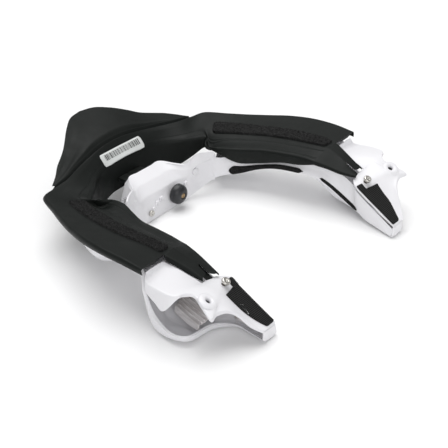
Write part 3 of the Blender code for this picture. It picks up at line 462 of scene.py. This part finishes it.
def softened(row, radii, arc=4, fill=3):
    """One row with its inner corners rounded, as (point, place across in rails)."""
    here = row[0]
    result = []
    for i, radius in enumerate(radii, start=1):
        corner = row[i]
        back = row[i - 1] - corner
        on = row[i + 1] - corner
        reach = min(radius, back.length * 0.45, on.length * 0.45)
        start = corner + back.normalized() * reach
        end = corner + on.normalized() * reach
        for k in range(fill):
            result.append((here.lerp(start, k / fill), i - 0.9 + 0.8 * k / fill))
        for k in range(arc):
            t = k / arc
            bend = start * (1 - t) ** 2 + corner * (2 * t * (1 - t)) + end * t * t
            result.append((bend, i - 0.1 + 0.2 * t))
        here = end
    for k in range(fill + 1):
        result.append((here.lerp(row[-1], k / fill), len(radii) + 0.1 + 0.9 * k / fill))
    return result


def softened_rows(rows, radii, arc=4, fill=3):
    return [softened(row, radii, arc, fill) for row in rows]


def plain_rows(rows):
    return [[(point, float(i)) for i, point in enumerate(row)] for row in rows]


def mesh_object(name, mesh, finish):
    """Turn a bmesh into a smooth-shaded object."""
    data = bpy.data.meshes.new(name)
    mesh.to_mesh(data)
    mesh.free()
    data.shade_smooth()
    data.materials.append(finish)
    made = bpy.data.objects.new(name, data)
    bpy.context.scene.collection.objects.link(made)
    return made


def grid_object(name, grids, finish, flip=False):
    """An object from grids of (point, rail place); the rails layer keeps both places."""
    mesh = bmesh.new()
    layer = mesh.loops.layers.uv.new("rails")
    for rows in grids:
        lines = [[mesh.verts.new(place(spot[0])) for spot in row] for row in rows]
        for r in range(len(rows) - 1):
            for i in range(len(rows[r]) - 1):
                corners = [(r, i), (r + 1, i), (r + 1, i + 1), (r, i + 1)]
                if flip:
                    corners.reverse()
                face = mesh.faces.new([lines[a][b] for a, b in corners])
                for loop, (a, b) in zip(face.loops, corners):
                    loop[layer].uv = (a / STEPS, rows[a][b][1])
    bmesh.ops.remove_doubles(mesh, verts=mesh.verts, dist=0.00001)
    return mesh_object(name, mesh, finish)


def mirror_halves(target):
    mirror = target.modifiers.new("both_halves", "MIRROR")
    mirror.use_axis[0] = True
    mirror.merge_threshold = 0.0001


def thicken(target, wall, offset=-1.0, even=True):
    shell = target.modifiers.new("wall", "SOLIDIFY")
    shell.thickness = wall * MM
    shell.offset = offset
    shell.use_even_offset = even
    shell.thickness_clamp = 1.0


def round_edges(target, width, segments=3, angle=40.0):
    edges = target.modifiers.new("rounded_edges", "BEVEL")
    edges.width = width * MM
    edges.segments = segments
    edges.limit_method = "ANGLE"
    edges.angle_limit = math.radians(angle)
    weights = target.modifiers.new("even_shading", "WEIGHTED_NORMAL")
    weights.keep_sharp = False


def cut(target, tool):
    hole = target.modifiers.new("cut", "BOOLEAN")
    hole.object = tool
    hole.operation = "DIFFERENCE"
    hole.solver = "EXACT"
    tool.hide_render = True
    tool.hide_viewport = True


def settle(piece, nodes=(), body="brace"):
    """Put a finished piece on its body and the nodes it stands for."""
    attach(piece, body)
    if nodes:
        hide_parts(*nodes)
    return piece


def mirrored(rows):
    return [[(Vector((-p[0], p[1], p[2])), t) for p, t in row] for row in rows]


def shell_pair(name, rows, wall, finish, nodes, offset=-1.0, bevel=0.5, tools=()):
    """A right and a left shell from one set of rows."""
    made = []
    for side, sign in (("right", 1), ("left", -1)):
        piece = grid_object(f"{name}_{side}", [rows if sign > 0 else mirrored(rows)], finish, sign < 0)
        thicken(piece, wall, offset)
        for tool in tools:
            cut(piece, tool(sign))
        round_edges(piece, bevel)
        settle(piece, [f"{node}_{side}" for node in nodes])
        made.append(piece)
    return made


def side_point(point, sign):
    return Vector((sign * point[0], point[1], point[2]))


def turned_axis(axis, sign=1):
    return side_point(axis, sign).normalized().to_track_quat("Z", "Y").to_matrix().to_4x4()


def lathe(name, profile, at, axis, finish, sides=48):
    """A turned piece from (radius, height) points in millimetres, top to bottom."""
    mesh = bmesh.new()
    rings = []
    turn = turned_axis(axis)
    for radius, height in profile:
        ring = []
        for k in range(sides):
            angle = 2.0 * math.pi * k / sides
            local = Vector((math.cos(angle) * radius, math.sin(angle) * radius, height)) * MM
            ring.append(mesh.verts.new(place(at) + turn @ local))
        rings.append(ring)
    for upper, lower in zip(rings, rings[1:]):
        for k in range(sides):
            j = (k + 1) % sides
            mesh.faces.new([upper[k], lower[k], lower[j], upper[j]])
    bmesh.ops.remove_doubles(mesh, verts=mesh.verts, dist=0.000001)
    bmesh.ops.recalc_face_normals(mesh, faces=mesh.faces)
    return mesh_object(name, mesh, finish)


def rod(name, radius, length, at, axis, finish, sides=32):
    """A plain round bar, centred on a point and lying along an axis."""
    mesh = bmesh.new()
    bmesh.ops.create_cone(mesh, cap_ends=True, segments=sides, radius1=radius * MM,
                          radius2=radius * MM, depth=length * MM)
    mesh.transform(Matrix.Translation(place(at)) @ turned_axis(axis))
    return mesh_object(name, mesh, finish)


def brick(name, size, centre, finish):
    mesh = bmesh.new()
    bmesh.ops.create_cube(mesh, size=1.0)
    bmesh.ops.scale(mesh, vec=Vector(size) * MM, verts=mesh.verts)
    mesh.transform(Matrix.Translation(place(centre)))
    return mesh_object(name, mesh, finish)


def bead(name, points, radius, finish, sides=8):
    """A thin round bead along points that are in millimetres."""
    mesh = bmesh.new()
    count = len(points)
    rings = []
    for i, point in enumerate(points):
        before = points[max(i - 1, 0)]
        after = points[min(i + 1, count - 1)]
        turn = (after - before).to_track_quat("Z", "Y").to_matrix()
        ring = []
        for k in range(sides):
            angle = 2.0 * math.pi * k / sides
            offset = turn @ Vector((math.cos(angle), math.sin(angle), 0.0)) * radius
            ring.append(mesh.verts.new(place(point + offset)))
        rings.append(ring)
    for near, far in zip(rings, rings[1:]):
        for k in range(sides):
            j = (k + 1) % sides
            mesh.faces.new([near[k], near[j], far[j], far[k]])
    mesh.faces.new(list(reversed(rings[0])))
    mesh.faces.new(rings[-1])
    bmesh.ops.recalc_face_normals(mesh, faces=mesh.faces)
    return mesh_object(name, mesh, finish)


# ---------------------------------------------------------------- black shell

FRAME_RADII = (1.2, 1.7, 1.0, 4.0, 5.0, 2.4)
ARM_RADII = (1.6, 1.0, 2.5, 2.2)


def build_upper_frame():
    rows = surface(FRAME_SECTIONS)
    arm = surface(ARM_SECTIONS)
    grids = [softened_rows(rows, FRAME_RADII), softened_rows(arm, ARM_RADII)]
    shell = grid_object("upper_frame_shell", grids, BLACK_RIBBED)
    mirror_halves(shell)
    thicken(shell, FRAME_WALL, even=False)
    for sign in (1, -1):
        slot = brick("arm_slot_tool", SLOT_SIZE, side_point(SLOT_AT, sign), BLACK)
        cut(shell, slot)
        floor = [[Vector((sign * x, y, z - SLOT_FLOOR_DROP)) for x in (94.6, 89.6)]
                 for y, z in ((10.0, 37.0), (22.0, 42.6))]
        side = "right" if sign > 0 else "left"
        under = grid_object(f"arm_slot_floor_{side}", [plain_rows(floor)], BLACK, sign < 0)
        thicken(under, 0.8)
        settle(under)
    round_edges(shell, 0.5)
    settle(shell, ["upper_frame"])


def build_tail_lobe():
    rows = [row + [row[-1] + Vector((0.0, -0.5, -4.0))] for row in surface(LOBE_SECTIONS)]
    lobe = grid_object("tail_lobe_shell", [softened_rows(rows, (9.0, 1.0), 6, 4)], BLACK)
    mirror_halves(lobe)
    thicken(lobe, FRAME_WALL)
    round_edges(lobe, 1.1, 4)
    settle(lobe, ["tail_lobe"])


# ---------------------------------------------------------------- white shell

CHASSIS_RADII = (3.0, 3.0, 3.0, 3.2, 5.0, 6.0, 5.0, 2.6)
RING_RADII = (1.0, 1.0, 1.6)


def wall_rails(section):
    """The three wall rails of a chassis section as five, to match the ring's."""
    top, bend, foot = (Vector(p) for p in section[:3])
    return [top, top.lerp(bend, 0.5), bend, bend.lerp(foot, 0.5), foot]


def build_chassis():
    """Chassis halves and ring wall as one white moulding."""
    walls = [wall_rails(section) for section in CHASSIS_SECTIONS]
    ring = [[Vector(p) for p in section] for section in CHUTE_SECTIONS]
    wall_rows = surface(walls + ring)
    floor_rows = surface([section[3:] for section in CHASSIS_SECTIONS])
    seam = len(floor_rows)
    chassis_rows = [wall + floor for wall, floor in zip(wall_rows, floor_rows)]
    ring_rows = wall_rows[seam - 1:]
    grids = [softened_rows(chassis_rows, CHASSIS_RADII), softened_rows(ring_rows, RING_RADII)]
    shell = grid_object("chassis_shell", grids, WHITE)
    mirror_halves(shell)
    thicken(shell, CHASSIS_WALL)
    round_edges(shell, 0.7)
    settle(shell, ["chassis_left", "chassis_right", "rear_yoke"])


def build_chute_back():
    """The chute's flared sides and rear, from its top edge down to its foot."""
    half = [[(30.0, 136.5, 28.9), (30.0, 150.0, 17.5), (30.0, 150.6, 12.0)],
            [(19.0, 152.9, 30.9), (20.0, 156.0, 26.0), (23.0, 158.0, 12.0)],
            [(8.0, 153.5, 31.0), (8.0, 157.0, 26.0), (8.0, 159.0, 12.0)],
            [(0.0, 153.5, 31.0), (0.0, 157.0, 26.0), (0.0, 159.0, 12.0)]]
    back = grid_object("rear_chute_back", [plain_rows([[Vector(q) for q in row] for row in half])], WHITE,
                       True)
    mirror_halves(back)
    thicken(back, 1.6)
    round_edges(back, 0.5)
    settle(back)


def build_plates():
    rows = softened_rows(surface(PLATE_SECTIONS), (6.0, 6.0, 1.4), 4, 4)

    def screw_tool(sign):
        return rod("plate_screw_tool", SCREW_HOLE_RADIUS, 14.0, side_point(FRONT_SCREW_AT, sign),
                   side_point(FRONT_SCREW_AXIS, sign), WHITE)

    def access_tool(sign):
        return rod("plate_access_tool", BOSS_HOLE_RADIUS, 14.0, side_point(ACCESS_HOLE_AT, sign),
                   side_point(ACCESS_HOLE_AXIS, sign), WHITE)

    shell_pair("front_plate_shell", rows, CHASSIS_WALL, WHITE, ["front_plate"],
               bevel=0.8, tools=(screw_tool, access_tool))


def build_bushes():
    """Round bosses with a rolled rim, and a black disc sunk in each hole as painted shade."""
    profile = [(2.0, -4.0), (2.0, -0.4), (2.4, 0.3), (3.2, 0.8), (4.4, 0.9), (5.4, 0.6), (6.4, 0.1),
               (6.9, -0.6), (6.9, -1.6), (4.6, -1.8), (4.6, -4.0), (2.0, -4.0)]
    for side, sign in (("right", 1), ("left", -1)):
        axis = side_point(ACCESS_HOLE_AXIS, sign).normalized()
        at = side_point(ACCESS_HOLE_AT, sign) + axis * 0.3
        bush = lathe(f"access_bush_ring_{side}", profile, at, axis, WHITE)
        settle(bush, [f"access_bush_{side}"])
        # painted shade: a black disc inside the hole stands in for the shade in it
        hole_shade_disc = lathe(f"access_shade_{side}", [(0.0, -1.9), (1.95, -1.9), (1.95, -3.0), (0.0, -3.0)], at, axis,
                     KNOB_BLACK)
        settle(hole_shade_disc)


# ---------------------------------------------------------------- hook strips and label

def lifted(rows, height):
    """The same rows moved along their own surface normals."""
    result = []
    for r, row in enumerate(rows):
        line = []
        for i, point in enumerate(row):
            along = rows[min(r + 1, len(rows) - 1)][i] - rows[max(r - 1, 0)][i]
            across = row[min(i + 1, len(row) - 1)] - row[max(i - 1, 0)]
            line.append(point + along.cross(across).normalized() * height)
        result.append(line)
    return result


def resampled(rows, pitch):
    """Rows spread evenly, about pitch apart along and across."""
    length = max(sum((b[i] - a[i]).length for a, b in zip(rows, rows[1:])) for i in (0, -1))
    width = max((row[-1] - row[0]).length for row in rows)
    rails = []
    columns = max(2, int(width / pitch))
    count = max(2, int(length / pitch))
    for c in range(columns + 1):
        f = c / columns * (len(rows[0]) - 1)
        i = min(int(f), len(rows[0]) - 2)
        rails.append([row[i].lerp(row[i + 1], f - i) for row in rows])
    even = []
    for r in range(count + 1):
        f = r / count * (len(rows) - 1)
        i = min(int(f), len(rows) - 2)
        even.append([rail[i].lerp(rail[i + 1], f - i) for rail in rails])
    return even


def rounded_ends(rows, radius):
    """Draw the strip's corners in, so that its ends are round."""
    result = []
    travelled = [0.0]
    for a, b in zip(rows, rows[1:]):
        middle = len(a) // 2
        travelled.append(travelled[-1] + (b[middle] - a[middle]).length)
    for row, here in zip(rows, travelled):
        end = min(here, travelled[-1] - here)
        inset = 0.0
        if end < radius:
            inset = radius - math.sqrt(max(radius ** 2 - (radius - end) ** 2, 0.0))
        width = (row[-1] - row[0]).length
        share = min(inset / width, 0.42)
        result.append([row[0].lerp(row[-1], share) + (p - row[0].lerp(row[-1], i / (len(row) - 1)))
                       + (row[-1] - row[0]) * (i / (len(row) - 1) * (1 - 2 * share))
                       for i, p in enumerate(row)])
    return result


def fuzzy_sheet(name, rows, height, rough, rib=0.0, sign=1):
    """Tape with a tufted top: the sheet is lifted by noise, or by crosswise ribs."""
    normals_from = lifted(rows, 1.0)
    top = []
    for r, row in enumerate(rows):
        line = []
        for i, point in enumerate(row):
            up = normals_from[r][i] - point
            edge = min(r, len(rows) - 1 - r, i, len(row) - 1 - i)
            tuft = noise.noise(point * 0.9) * 0.5 + noise.noise(point * 2.3) * 0.6
            lift = height + rough * tuft
            if rib:
                lift = height + rib * (r % 2) + rough * 0.5 * tuft
            if edge == 0:
                lift = 0.0
            elif edge == 1:
                lift *= 0.75
            line.append((point + up * lift, float(i)))
        top.append(line)
    grid = top if sign > 0 else mirrored(top)
    return grid_object(name, [grid], TAPE_ROWS if rib else TAPE, sign < 0)


def tufts(name, rows, height, count, seed, sign=1):
    """Loose hooks: thin curved ribbons that stand out of the tape at random."""
    draw = random.Random(seed)
    mesh = bmesh.new()
    normals_from = lifted(rows, 1.0)
    for _ in range(count):
        r = draw.randrange(1, len(rows) - 1)
        i = draw.randrange(1, len(rows[0]) - 1)
        base = rows[r][i]
        up = (normals_from[r][i] - base).normalized()
        turn = draw.uniform(0.0, math.pi)
        along = (rows[r + 1][i] - base).normalized()
        side = up.cross(along)
        lean = along * math.cos(turn) + side * math.sin(turn)
        thin = up.cross(lean) * 0.11
        reach = draw.uniform(0.5, 1.0)
        tall = height * draw.uniform(0.75, 1.25)
        path = [base + lean * (reach * f) + up * (tall * g)
                for f, g in ((-0.5, 0.3), (-0.35, 0.85), (0.0, 1.12), (0.35, 0.9), (0.5, 0.45))]
        near = [mesh.verts.new(place(side_point(p - thin, sign))) for p in path]
        far = [mesh.verts.new(place(side_point(p + thin, sign))) for p in path]
        for k in range(len(path) - 1):
            mesh.faces.new([near[k], near[k + 1], far[k + 1], far[k]])
    return mesh_object(name, mesh, TAPE)


def strip_pair(name, rows, pitch, height, rough, radius, density, rib=0.0):
    even = rounded_ends(resampled(rows, pitch), radius)
    on_shell = lifted(even, GAP * 0.5)
    for side, sign in (("right", 1), ("left", -1)):
        sheet = fuzzy_sheet(f"{name}_sheet_{side}", on_shell, height, rough, rib, sign)
        settle(sheet, [f"{name}_{side}"])
        if density:
            count = int(density * len(even) * len(even[0]))
            loops = tufts(f"{name}_tufts_{side}", on_shell, height, count, 7 + sign, sign)
            settle(loops)


def between(rows, first, second, fractions):
    return [[row[first].lerp(row[second], f) for f in fractions] for row in rows]


def tip_strip_rows(plate):
    """The tip strip starts narrow, beside the front screw, and widens in front of it."""
    narrow = between(plate[8 * STEPS:9 * STEPS], 0, 1, (0.03, 0.22, 0.42))
    inner = between(plate[9 * STEPS:13 * STEPS], 0, 1, (0.03, 0.5, 0.97))
    outer = between(plate[9 * STEPS:13 * STEPS], 1, 2, (0.3,))
    wide = [a[:2] + b for a, b in zip(inner, outer)]
    return narrow + wide


def build_hook_strips():
    band = surface(FRAME_SECTIONS)
    strip_pair("flange_hook_strip", between(band[1:6 * STEPS + 1], 3, 4, (0.04, 0.5, 0.96)),
               0.7, 1.3, 1.1, 3.4, 0.95)
    wall = surface(CHASSIS_SECTIONS)
    strip_pair("ring_hook_strip", between(wall[9 * STEPS:12 * STEPS + 6], 1, 2, (0.3, 0.96)),
               0.8, 1.0, 0.6, 5.0, 0.5)
    strip_pair("arm_hook_strip", between(wall[3 * STEPS:7 * STEPS + 1], 1, 2, (0.62, 0.96)),
               0.8, 0.9, 0.4, 2.5, 0.3)
    strip_pair("tip_hook_strip", tip_strip_rows(surface(PLATE_SECTIONS)), 0.72, 0.8, 0.2, 1.2, 0.04, rib=0.6)


def band_point(rows, x, y):
    """The point of the rear band's slope at x across and y along."""
    best = len(rows) - 2
    for r in range(len(rows) - 1):
        if rows[r][4].x >= abs(x) >= rows[r + 1][4].x:
            best = r
            break
    a, b = rows[best], rows[best + 1]
    share = (a[4].x - abs(x)) / (a[4].x - b[4].x)
    row = [p.lerp(q, share) for p, q in zip(a, b)]
    for near, far in zip(row[2:6], row[3:7]):
        if near.y >= y >= far.y:
            point = near.lerp(far, (near.y - y) / (near.y - far.y))
            break
    else:
        point = row[6].copy()
    point.x = x
    return point


def build_lint():
    """A pale loose thread caught on the near toe's tape."""
    path = [(-92.6, -11.8, 26.3), (-92.6, -13.9, 25.1), (-90.0, -16.1, 23.6),
            (-92.5, -17.0, 23.3), (-91.6, -19.5, 21.8), (-92.3, -22.2, 20.4)]
    thread = bead("lint_thread", curve_through(path, 5), 0.16, FILM)
    settle(thread)


def build_label():
    """A rounded white film with a row of plain bars of uneven width; no lettering."""
    rows = surface(FRAME_SECTIONS)
    half = LABEL_SIZE / 2
    rear, front = LABEL_EDGES
    columns, lines = 48, 12
    sheet = []
    for c in range(columns + 1):
        x = half - 2 * half * c / columns
        edge = half - abs(x)
        inset = 0.0
        if edge < LABEL_CORNER:
            inset = LABEL_CORNER - math.sqrt(max(LABEL_CORNER ** 2 - (LABEL_CORNER - edge) ** 2, 0.0))
        sheet.append([band_point(rows, x, rear - inset + (front - rear + 2 * inset) * k / lines)
                      for k in range(lines + 1)])
    film = grid_object("rating_label_film", [plain_rows(lifted(sheet, 0.2))], FILM)
    thicken(film, 0.3, 1.0)
    settle(film, ["rating_label"])
    build_bars(rows, half)


def build_bars(rows, half):
    draw = random.Random(11)
    mesh = bmesh.new()
    x = half - 3.2
    while x > -half + 4.0:
        width = draw.choice((0.35, 0.35, 0.7, 1.0))
        bar = [[band_point(rows, x - width * s, 179.0 - 3.4 * k / 4) for k in range(5)] for s in (0, 1)]
        raised = lifted(bar, 0.56)
        lines = [[mesh.verts.new(place(p)) for p in line] for line in raised]
        for k in range(4):
            mesh.faces.new([lines[0][k], lines[1][k], lines[1][k + 1], lines[0][k + 1]])
        x -= width + draw.choice((0.35, 0.5, 0.8))
    bars = mesh_object("rating_label_bars", mesh, INK)
    settle(bars)


# ---------------------------------------------------------------- fastenings and knob

def hex_screw(name, at, axis, head, tall, socket, finish):
    """A button-edged socket screw with a six-sided recess."""
    profile = [(0.0, tall), (head * 0.72, tall), (head * 0.9, tall * 0.9), (head, tall * 0.62),
               (head, 0.1), (head * 0.94, 0.0), (1.5, 0.0), (1.5, -8.0), (0.0, -8.0)]
    screw = lathe(name, profile, at, axis, finish)
    tool = rod(name + "_socket_tool", socket, 2.4, Vector(at) + Vector(axis).normalized() * tall, axis,
               finish, sides=6)
    cut(screw, tool)
    return screw


def build_screws():
    for side, sign in (("right", 1), ("left", -1)):
        axis = side_point(FRONT_SCREW_AXIS, sign).normalized()
        at = side_point(FRONT_SCREW_AT, sign) + axis * 0.7
        screw = hex_screw(f"front_screw_head_{side}", at, axis, 3.1, 1.9, 1.35, STEEL)
        settle(screw, [f"front_screw_{side}"])
    rear = hex_screw("rear_screw_head", REAR_SCREW_AT, NECKWARD, 2.6, 1.5, 1.15, STEEL)
    settle(rear, ["rear_screw"])


def build_ring_details():
    """Raised and sunk round marks of the moulding beside the knob."""
    disc = [(0.0, 0.5), (2.4, 0.5), (3.0, 0.3), (3.3, -0.2), (3.3, -1.2), (0.0, -1.2)]
    cup = [(0.0, 0.1), (1.3, 0.1), (1.6, 0.55), (2.0, 0.6), (2.3, 0.3), (2.3, -1.0), (0.0, -1.0)]
    for name, at, profile in (("boss", (36.5, 129.3, 21.0), disc), ("bump", (25.5, 130.4, 14.7), cup),
                              ("cup_a", (-4.0, 131.2, 13.4), cup), ("cup_b", (-9.6, 130.9, 11.6), cup),
                              ("cup_c", (-14.7, 130.2, 8.6), cup)):
        mark = lathe(f"ring_mark_{name}", profile, at, NECKWARD, WHITE)
        settle(mark)


def build_knob():
    """The round domed knob with the pin's socket head at its centre."""
    dome = [(2.5, 6.3), (2.5, 7.9), (2.8, 8.2), (4.2, 7.9), (5.8, 7.2), (7.1, 6.1), (7.9, 4.9), (8.3, 3.6),
            (8.35, 2.4), (8.35, 0.6), (8.0, 0.0), (1.7, 0.0), (1.7, 6.3), (2.5, 6.3)]
    knob = lathe("turn_knob_dome", dome, KNOB_AT, NECKWARD, KNOB_BLACK, sides=64)
    settle(knob, ["turn_knob"], "knob")
    seat = Vector(KNOB_AT) + Vector(NECKWARD) * KNOB_PIN_SEAT
    pin = hex_screw("knob_pin_head", seat, NECKWARD, 2.2, 1.4, 1.05, BRASS)
    settle(pin, ["knob_pin"])


def carried_over():
    """Rich materials for the CAD nodes that stay in view as they are."""
    finishes = {"rear_bracket": BLACK}
    for name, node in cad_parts.items():
        chosen = finishes.get(name)
        if name.startswith(("front_insert", "rear_insert")):
            chosen = BRASS
        elif name.startswith(("frame_screw", "lobe_screw")):
            chosen = STEEL
        elif name.startswith("frame_spacer"):
            chosen = WHITE
        if chosen:
            node.data.materials.clear()
            node.data.materials.append(chosen)


# ---------------------------------------------------------------- channels

def ribs_along(name, rows, radius, columns, finish, sign):
    """Round ribs that run the length of a channel."""
    made = bmesh.new()
    for c in range(columns):
        f = (c + 0.5) / columns * (len(rows[0]) - 1)
        i = min(int(f), len(rows[0]) - 2)
        points = [side_point(row[i].lerp(row[i + 1], f - i), sign) for row in rows]
        rod_piece = bead("rib_scrap", points, radius, finish)
        made.from_mesh(rod_piece.data)
        bpy.data.objects.remove(rod_piece)
    return mesh_object(name, made, finish)


def build_channels():
    socket = surface(SOCKET_SECTIONS)
    tip = surface(TIP_LINER_SECTIONS)
    shell_pair("socket_liner_shell", softened_rows(socket, (1.5, 1.2, 0.8), 3, 3), 1.6, LINER,
               ["socket_liner"], bevel=0.4)
    shell_pair("tip_liner_shell", softened_rows(tip, (1.0,), 3, 3), 1.6, LINER,
               ["tip_liner"], bevel=0.4)
    for side, sign in (("right", 1), ("left", -1)):
        inner = [row[:3] for row in socket]
        ribs = ribs_along(f"socket_ribs_{side}", inner, 0.55, 6, LINER, sign)
        settle(ribs)
        toe = ribs_along(f"tip_ribs_{side}", tip, 0.45, 4, LINER, sign)
        settle(toe)


def build_toe_fronts():
    """The closed front of each toe, between the plate and the chassis floor."""
    outline = [(77.9, 9.6), (84.5, 10.0), (91.0, 10.4), (91.4, 3.4), (89.6, 1.7), (87.0, 0.9), (80.0, 0.6),
               (76.3, 1.5)]
    for side, sign in (("right", 1), ("left", -1)):
        mesh = bmesh.new()
        loops = [[mesh.verts.new(place((sign * x, y, z))) for x, z in outline] for y in (-32.6, -34.4)]
        for i in range(len(outline)):
            j = (i + 1) % len(outline)
            mesh.faces.new([loops[0][i], loops[0][j], loops[1][j], loops[1][i]])
        mesh.faces.new(loops[0])
        mesh.faces.new(loops[1])
        bmesh.ops.recalc_face_normals(mesh, faces=mesh.faces)
        toe = mesh_object(f"toe_front_{side}", mesh, WHITE)
        round_edges(toe, 0.85)
        settle(toe)


# ---------------------------------------------------------------- studio

CAMERA_AT = (-0.5184, -0.3379 + SHIFT_Y * MM, 0.41175)
CAMERA_AZIMUTH = -51.72
CAMERA_ELEVATION = 31.3
CAMERA_LENS = 80.357


def build_studio():
    mesh = bmesh.new()
    bmesh.ops.create_grid(mesh, x_segments=1, y_segments=1, size=6.0)
    floor = mesh_object("studio_floor", mesh, floor_finish())
    floor.location.z = -0.0002
    world = bpy.data.worlds.new("studio")
    world.use_nodes = True
    bpy.context.scene.world = world
    light = world.node_tree.nodes["Background"]
    light.inputs["Color"].default_value = (1.0, 1.0, 1.0, 1.0)
    light.inputs["Strength"].default_value = WORLD_LIGHT
    for name, towards, spread, power in LAMPS:
        lamp = bpy.data.lights.new(name, "SUN")
        lamp.angle = math.radians(spread)
        lamp.energy = power
        holder = bpy.data.objects.new(name, lamp)
        holder.rotation_euler = Vector(towards).to_track_quat("Z", "Y").to_euler()
        bpy.context.scene.collection.objects.link(holder)
    bpy.context.scene.view_settings.view_transform = "Standard"


WORLD_LIGHT = 0.35
LAMPS = [("overhead", (0.12, 0.28, 1.0), 58.0, 2.25), ("front", (-0.6, -0.7, 0.45), 50.0, 0.9)]


def floor_finish():
    n = Nodes("floor_white")
    cloud = n.noise(3.0, 2.0)
    return n.finish(n.ramp(cloud, (0.93, 0.93, 0.935), (0.95, 0.95, 0.95)), 0.9, specular=0.1)


def build_camera():
    data = bpy.data.cameras.new("camera")
    data.lens = CAMERA_LENS
    data.sensor_width = 36.0
    camera = bpy.data.objects.new("camera", data)
    azimuth, elevation = math.radians(CAMERA_AZIMUTH), math.radians(CAMERA_ELEVATION)
    back = Vector((math.sin(azimuth) * math.cos(elevation), -math.cos(azimuth) * math.cos(elevation),
                   math.sin(elevation)))
    camera.location = CAMERA_AT
    camera.rotation_euler = back.to_track_quat("Z", "Y").to_euler()
    bpy.context.scene.collection.objects.link(camera)
    bpy.context.scene.camera = camera


build_upper_frame()
build_tail_lobe()
build_chassis()
build_chute_back()
build_plates()
build_bushes()
build_hook_strips()
build_lint()
build_label()
build_screws()
build_ring_details()
build_knob()
build_channels()
build_toe_fronts()
carried_over()
build_studio()
build_camera()
